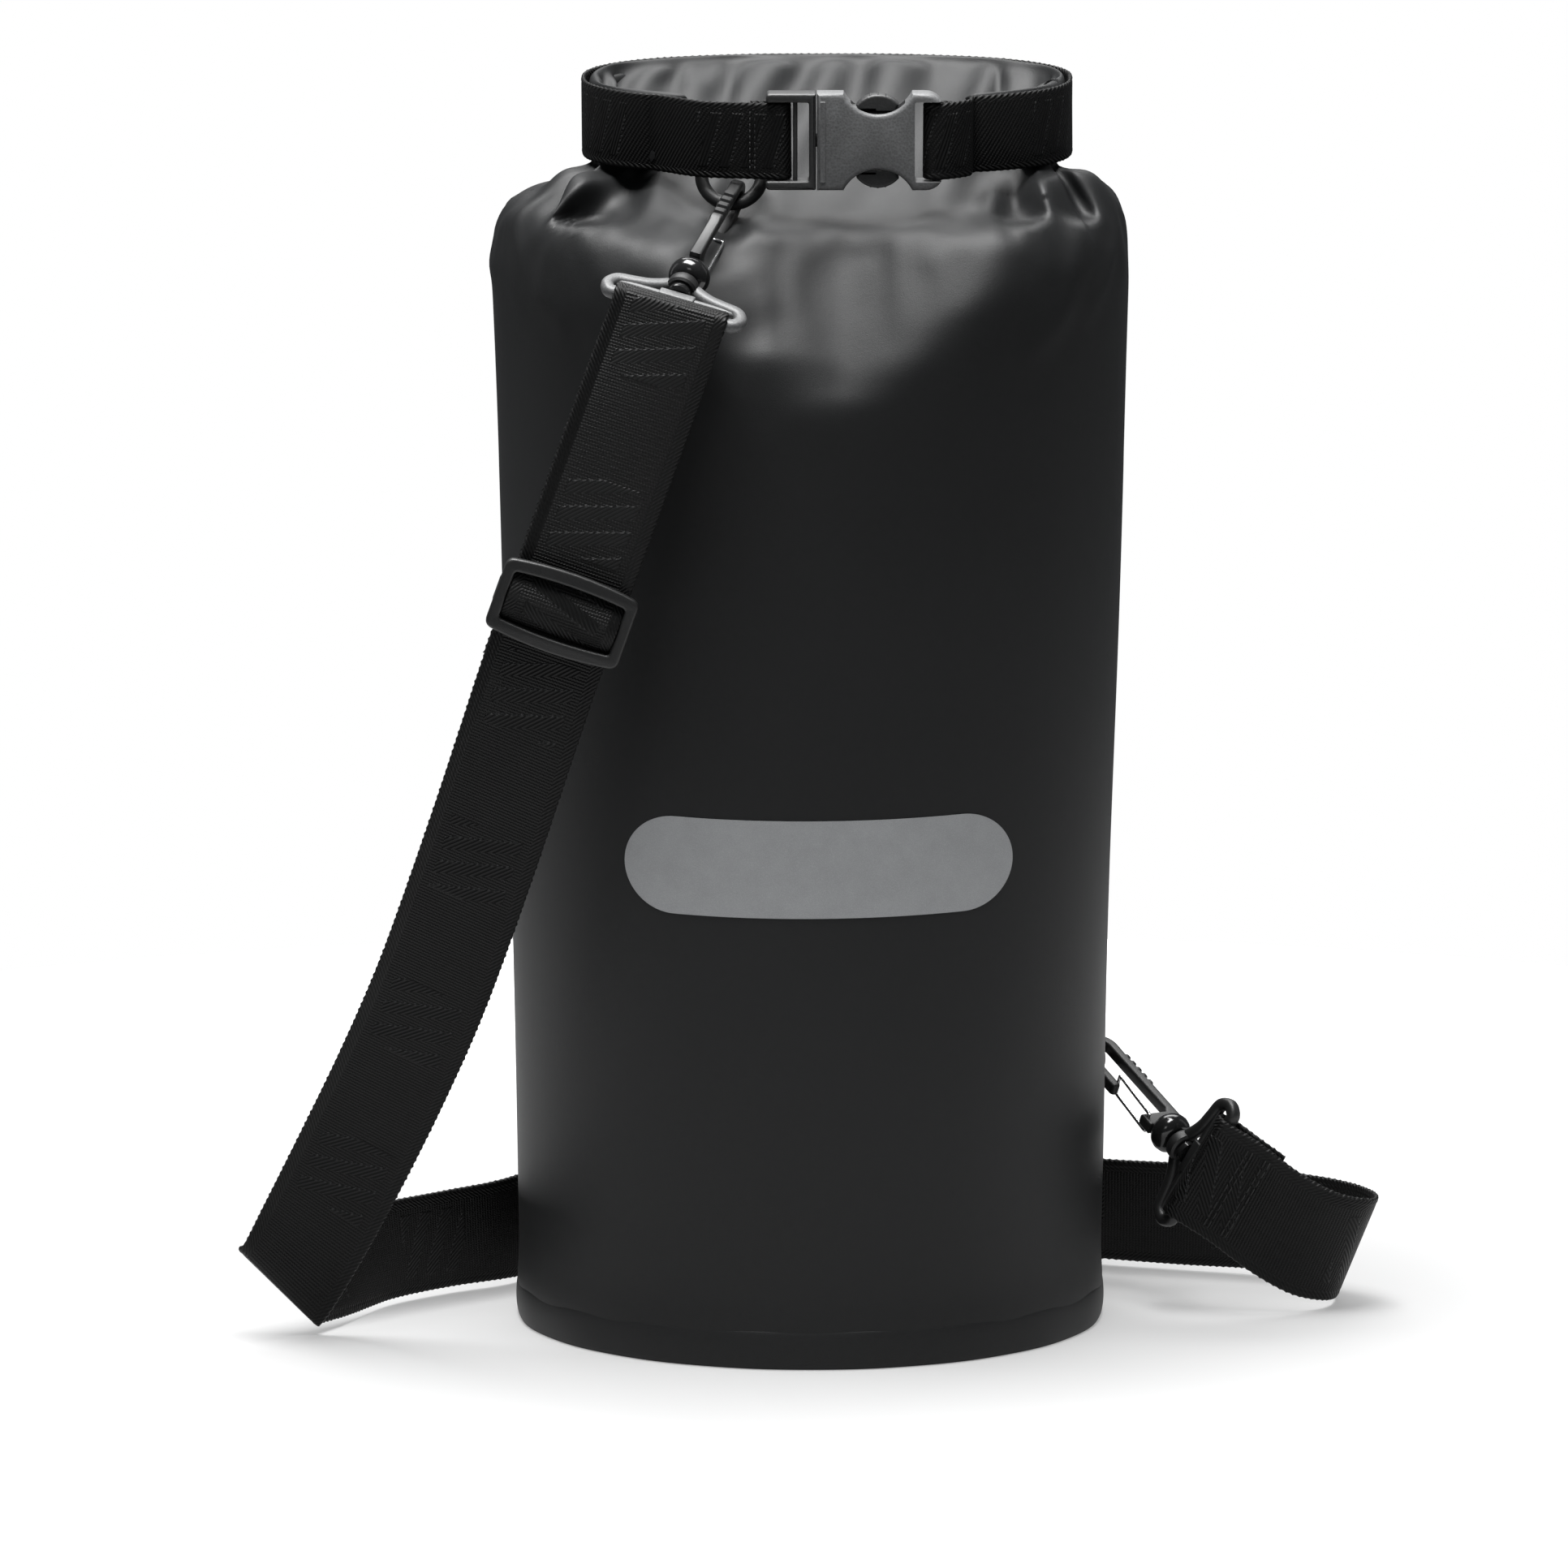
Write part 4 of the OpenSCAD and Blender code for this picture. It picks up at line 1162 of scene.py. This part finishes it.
def buckle():
    L, W = 41.5, 16.0
    # finger notches
    r, cy = 12.5, W + 5.6
    a_in = math.degrees(math.asin((cy - W) / r))
    lower = arc_pts(20, -cy, r, 180 - a_in, a_in, 18)
    upper = arc_pts(20, cy, r, -a_in, -180 + a_in, 18)
    outline = [(0.2, -W)] + lower + [(L - 6.5, -W)]
    outline += arc_pts(L - 6, -W + 6, 6, -90, -20, 6)[1:] + [(L, -W + 8)]
    outline += [(L, W - 8)] + arc_pts(L - 6, W - 6, 6, 20, 90, 6)[:-1] + [(L - 6.5, W)] + upper + [(0.2, W)]
    body = plate("buckle_female_shell", [outline], 9.0, 1.5, BUCKLE, FLAT)
    cavity = box("cavity", (-1, -12.8, -3.1), (31.5, 12.8, 3.1), 0.4, BUCKLE, FLAT)
    slot_cut = box("slot_cut", (32, -13.2, -10), (50, 13.2, 10), 0.8, BUCKLE, FLAT)
    cut(body, cavity, slot_cut)
    bar = box("end_bar", (37.4, -14, -1.4), (40.4, 14, 1.4), 1.1, BUCKLE, FLAT)
    lip_pts = rounded([(1.2, -13.4), (3.0, -13.4), (3.0, 13.4), (1.2, 13.4)], 0.4)
    lip = plate("front_lip", [lip_pts], 0.7, 0.2, BUCKLE, FLAT @ move(0, 0, 4.5))
    female = join("buckle_female_half_shell", [body, bar, lip])
    place(female, "buckle_female_half", ["buckle_female"])

    rail_pts = rounded([(-16.4, -15.9), (-0.1, -15.9), (-0.1, 15.9), (-16.4, 15.9),
                        (-16.4, 12.9), (-2.4, 12.9), (-2.4, -12.9), (-16.4, -12.9)],
                       [1.5, 0.5, 0.5, 1.5, 0.9, 0.8, 0.8, 0.9])
    rails = plate("male_rails", [rail_pts], 8.0, 0.85, BUCKLE_IN_SHADE, FLAT)
    web_bar = box("male_web_bar", (-14.0, -14, -1.3), (-10.8, 14, 1.3), 1.0, BUCKLE_IN_SHADE, FLAT)
    thin = box("male_thin_bar", (-7.6, -14, -2.2), (-6.1, 14, 2.2), 0.5, BUCKLE_IN_SHADE, FLAT)
    tongue = box("male_tongue", (-0.4, -2, -2.5), (17.5, 2, 2.5), 0.9, BUCKLE_IN_SHADE, FLAT)
    male = join("buckle_male_frame", [rails, web_bar, thin, tongue])
    place(male, "bag", ["buckle_male"])

    for s, side in ((1, "upper"), (-1, "lower")):
        arm_pts = rounded([(0.6, s * 9.3), (20, s * 9.3), (20, s * 11.5), (0.6, s * 11.5)][::s], 0.9)
        pad_pts = [(12.4, 9.4), (25.8, 9.4)] + arc_pts(20, 6.4, 9.0, 40, 140, 14)
        pad_pts = rounded([(x, s * y) for x, y in pad_pts], 0.3)[::s]
        parts = [plate("arm", [arm_pts], 5.4, 0.6, BUCKLE_IN_SHADE, FLAT),
                 plate("pad", [pad_pts], 5.4, 0.8, BUCKLE_IN_SHADE, FLAT)]
        for x in (17.6, 20, 22.4):
            y = 6.4 + math.sqrt(81 - (x - 20) ** 2) - 0.12
            parts.append(tube("grip", [(x, s * y, -2.0), (x, s * y, 2.0)], 0.32, BUCKLE_IN_SHADE, FLAT,
                              step=1.0, sides=8, normal=(1, 0, 0)))
        place(join("prong_arm_" + side, parts), "prong_" + side, ["buckle_prong_" + side])


buckle()


# ------------------------------------------------------------------ rings, hooks, loops, slider
def cross_bar(half, inner, z, radius, paint, matrix, sides=16):
    """A straight rod along local X."""
    return tube("bar", [(x, 0, z) for x in (-half, -inner, inner, half)], radius, paint, matrix, sides=sides)


def d_ring(side, matrix):
    pts = [(-8.4, 1.0), (-9.3, 0.5), (-9.8, -2.5), (-9.8, -5)] + arc_pts(0, -6.8, 9.8, 180, 360, 15)
    pts += [(9.8, -5), (9.8, -2.5), (9.3, 0.5), (8.4, 1.0)]
    bow = tube("bow", [(x, 0, z) for x, z in pts], 2.2, HARD, matrix, sides=24, step=0.8)
    ring = join(side + "_d_ring_rod", [bow, cross_bar(9.4, 4, 0, 2.0, HARD, matrix, 24)])
    place(ring, side + "_ring", [side + "_d_ring"])


UPPER_RING = move(-25.5, -34.6, 390.5)
LOWER_RING = turn(0, 0, 32.25) @ move(102, 0, 85.6) @ turn(0, 0, 90)
d_ring("upper", UPPER_RING @ turn(-30))
d_ring("lower", LOWER_RING @ turn(-25))


def tab(side, matrix, thick, path):
    """The webbing that holds a ring; path is (y, z) in millimetres."""
    pts = smooth_line([(0, y, z) for y, z in path], 0.6)
    line = [(matrix @ (p * MM), matrix.to_3x3() @ Vector((1, 0, 0))) for p in pts]
    web = ribbon(side + "_ring_webbing_tab", line, 0.0146, thick, TAB_WEB)
    place(web, "bag", [side + "_ring_tab"])


def stitch_rows(name, matrix, zs, y, half, nodes, nrm=(0, -1, 0)):
    r = matrix.to_3x3() @ Vector(nrm)
    rows = [(matrix @ (Vector((-half, y, z)) * MM), matrix @ (Vector((half, y, z)) * MM), r) for z in zs]
    place(stitches(name, rows, THREAD), "bag", nodes)


tab("upper", UPPER_RING, 0.0010, [(-2.9, 16), (-3, 8), (-2.9, 0.8), (-2.2, -2), (0, -2.9), (2.2, -2),
                                  (2.9, 0.8), (2.4, 8), (1.6, 13)])
stitch_rows("upper_ring_stitches", UPPER_RING, [9.6, 11.0], -3.55, 6, ["upper_ring_tack"])
tab("lower", LOWER_RING, 0.0007, [(3.1, 36), (3.1, 12), (1.4, 5), (2.8, 0.8), (2.2, -2), (0, -2.75),
                                  (-2.2, -2), (-2.8, 0.8), (-1.2, 6), (1.5, 13), (1.6, 33)])
stitch_rows("lower_ring_stitches", LOWER_RING, [20, 21.6, 29, 30.6], 0.95, 6, ["lower_ring_tacks"])


def ring_patch():
    verts, nz, na = [], 16, 16
    r0, r1, z0, z1 = 0.0970, 0.0980, 0.084, 0.126
    for r in (r1, r0):
        for i in range(nz + 1):
            for j in range(na + 1):
                u, v = 2 * i / nz - 1, 2 * j / na - 1
                round_u = 1 - 0.10 * max(0, abs(v) - 0.6) ** 2 / 0.16
                round_v = 1 - 0.10 * max(0, abs(u) - 0.6) ** 2 / 0.16
                g = math.radians(32.25 + 11 * v * round_v)
                z = (z0 + z1) / 2 + (z1 - z0) / 2 * u * round_u
                edge = max(abs(u), abs(v))
                rr = r - (0.0004 if r == r1 and edge > 0.93 else 0)
                verts.append((rr * math.cos(g), rr * math.sin(g), z))
    patch = mesh_object("lower_ring_patch_fabric", verts, film_faces(nz, na), FABRIC)
    place(patch, "bag", ["lower_ring_patch"])


ring_patch()
EYE_R, LIMB, CROWN_Z, NOSE_Z, HOOK_T = 4.2, 3.3, 47.0, 27.0, 4.2


def paint_node(name, paint):
    """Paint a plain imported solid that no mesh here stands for."""
    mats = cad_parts[name].data.materials
    mats.clear()
    mats.append(paint)


def hook(side, matrix):
    flat = matrix @ turn(90)      # outline X, Z; thickness Y
    spine = EYE_R + LIMB
    out = [(spine, 3.2), (spine, 24)]
    for rib in range(5):
        z = 25 + 3.6 * rib
        out += [(spine + dx, z + dz) for dx, dz in ((0.7, 0.15), (0.7, 1.85), (-0.15, 2.25), (-0.15, 3.3))]
    out += arc_pts(0, CROWN_Z, spine, 4, 176, 26)
    out += [(-spine, NOSE_Z + 1)] + arc_pts(-EYE_R - LIMB / 2, NOSE_Z, LIMB / 2, 180, 360, 10)
    out += arc_pts(0, CROWN_Z, EYE_R, 176, 4, 20) + [(EYE_R, 11.5), (3.2, 9.4), (-6.4, 9.4), (-6.6, 3.2)]
    shape = plate("hook_shape", [out], HOOK_T, 0.95, HARD, flat)
    dome = lathe("dome", [(0.001, 4.3), (2.4, 4.3), (4.2, 4.05), (5.7, 3.2), (6.6, 1.7), (6.9, 0.0),
                          (6.6, -1.7), (5.7, -3.2), (4.2, -4.1), (2.4, -4.35), (2.05, -4.3), (2.05, -1.0),
                          (0.001, -1.0)], GLOSS, matrix, 56)
    place(join(side + "_hook_moulding", [shape, dome]), side + "_snap", [side + "_hook"])
    paint_node(side + "_swivel_pin", GLOSS)
    leg_y = HOOK_T / 2 + 1.15
    gx, gz, tx, tz = -5.0, 7.2, -EYE_R + 0.85, 28.6
    leg = [(gx, 1.0, gz), (gx, leg_y - 0.5, gz), (gx + 0.05, leg_y, gz + 0.6),
           ((gx + tx) / 2, leg_y, (gz + tz) / 2), (tx - 0.05, leg_y, tz - 0.9), (tx, leg_y - 0.9, tz)]
    pts = [(x, -y, z) for x, y, z in leg] + [(tx, 0, tz)] + leg[::-1]
    wire = tube(side + "_gate_wire", pts, 0.6, STEEL, matrix, sides=14, step=0.5, normal=(0.3, 0.2, 0.1))
    place(wire, side + "_wire_gate", [side + "_gate"])


def web_loop(side, matrix, paint):
    side_pts = [(21.5, 0.3), (22.7, 3.2), (20.6, 6.8), (15.8, 7.9), (11.0, 8.9), (7.6, 10.4), (4.6, 12.3)]
    rods = []
    for s in (-1, 1):
        pts = [(s * x, 0, z) for x, z in side_pts]
        pts = [(s * 18.5, 0, -0.25), (s * 20.2, 0, -0.35)] + pts
        rods.append(tube("rod", pts, 2.15, paint, matrix, sides=20, step=0.8, power=0.8))
    rods.append(cross_bar(20.5, 7, 0, 1.7, paint, matrix, 20))
    rods.append(cross_bar(19.6, 7, 6, 1.3, paint, matrix))
    rods.append(lathe("hub", [(2.4, 10.5), (4.6, 10.3), (5.3, 11.0), (5.4, 12.6), (5.2, 14.2), (4.5, 14.9),
                              (2.4, 14.8), (2.4, 10.5)], HARD, matrix, 48))
    place(join(side + "_loop_rod", rods), side + "_loop", [side + "_web_loop"])
    shell = box(side + "_sleeve_box", (-6, -1.9, 4.1), (6, 1.9, 7.7), 0.7, paint, matrix)
    place(shell, side + "_loop", [side + "_loop_sleeve"])


UPPER_LOOP = move(-45.1, -101.2, 352.1) @ turn(-68, 14, -13)
LOWER_LOOP = move(128.2, -1.9, 48.5) @ turn(-33, -59, -19)
hook("upper", UPPER_LOOP @ move(0, 0, 20) @ turn(0, 0, -90))
hook("lower", LOWER_LOOP @ move(0, 0, 20) @ turn(0, 0, 72))
web_loop("upper", UPPER_LOOP, LOOP_PLASTIC)
web_loop("lower", LOWER_LOOP, HARD)

AT_SLIDER = move(-80.4, -98.1, 252.3) @ turn(1.7, 19.5, 0)


def slider():
    w, h = 46.5, 27.0
    flat = AT_SLIDER @ move(0, -5.6, 0) @ turn(90)

    def bowed(hw, hh, bow, r):
        top = [(x, hh + bow * (1 - (x / hw) ** 2)) for x in np.linspace(hw, -hw, 9)]
        pts = [(hw, -hh)] + top + [(-hw, -hh)] + [(-x, -y) for x, y in top[1:-1]]
        radii = [r, r] + [0] * 7 + [r, r] + [0] * 7
        return rounded([(float(a), float(b)) for a, b in pts], radii)

    outer = bowed(w / 2 - 0.5, h / 2 - 1.7, 2.0, 4.6)
    inner = bowed(w / 2 - 4.3, h / 2 - 5.4, 1.1, 1.4)
    parts = [plate("slider_ring", [outer, inner], 3.0, 0.9, HARD, flat)]
    for s in (-1, 1):
        x = s * (w / 2 - 1.9)
        parts.append(box("post", (x - 1.3, -5.4, -4.5), (x + 1.3, 1.0, 4.5), 0.9, HARD, AT_SLIDER))
    parts.append(cross_bar(w / 2 - 1.6, 7, 0, 1.2, HARD, AT_SLIDER))
    place(join("slider_frame", parts), "slider", ["slider"])
    # the webbing's turn over the bar, which goes where the slider goes
    line, r = [], AT_SLIDER.to_3x3()
    for i in range(25):
        t = i / 24
        z = -8.2 + 16.4 * t
        lift = 3.5 * math.sin(math.pi * t) ** 0.75
        line.append((AT_SLIDER @ (Vector((0, -3.75 - lift, z)) * MM), r @ Vector((1, 0, 0))))
    hump = ribbon("slider_webbing_turn", line, 0.0377, 0.0009, WEB38, uv0=0.013)
    place(hump, "slider", [])


slider()
stitch_rows("strap_end_thread", AT_SLIDER, [-14, -16, -19, -21], 4.0, 15, ["strap_end_stitches"],
            (0, 1, 0))
BOX_STITCH = move(139, -5.2, 41) @ turn(13, -59, -19)
stitch_rows("strap_box_thread", BOX_STITCH, [-5, -3.4, 1.6, 3.2], -1.05, 15.5, ["strap_box_stitches"])

paint_node("mouth_stiffener", HARD)


# ------------------------------------------------------------------ floor
def floor():
    n, rad = 64, 0.60
    verts = [(0, 0.05, 0)] + [(rad * c, 0.05 + rad * s, 0) for c, s in circle(n)]
    faces = [(0, 1 + k, 1 + (k + 1) % n) for k in range(n)]
    p = Paint("studio_floor")
    p.color(p.noise(3, 2), (0.3, (0.25, 0.25, 0.25)), (0.7, (0.27, 0.27, 0.27)))
    p.set(roughness=0.55, specular_ior_level=0.2)
    # the floor glows white, less near the bag: a painted pool of shade round the bag, fading to even white
    # further out
    p.b.inputs["Emission Color"].default_value = (1, 1, 1, 1)
    away = p.distance((0, 0.05, 0)).soft(0.14, 0.52) * 0.72 + 0.33
    p.t.links.new(away.out, p.b.inputs["Emission Strength"])
    obj = mesh_object("studio_floor", verts, faces, p.m)
    obj.location.z = -0.0002


floor()
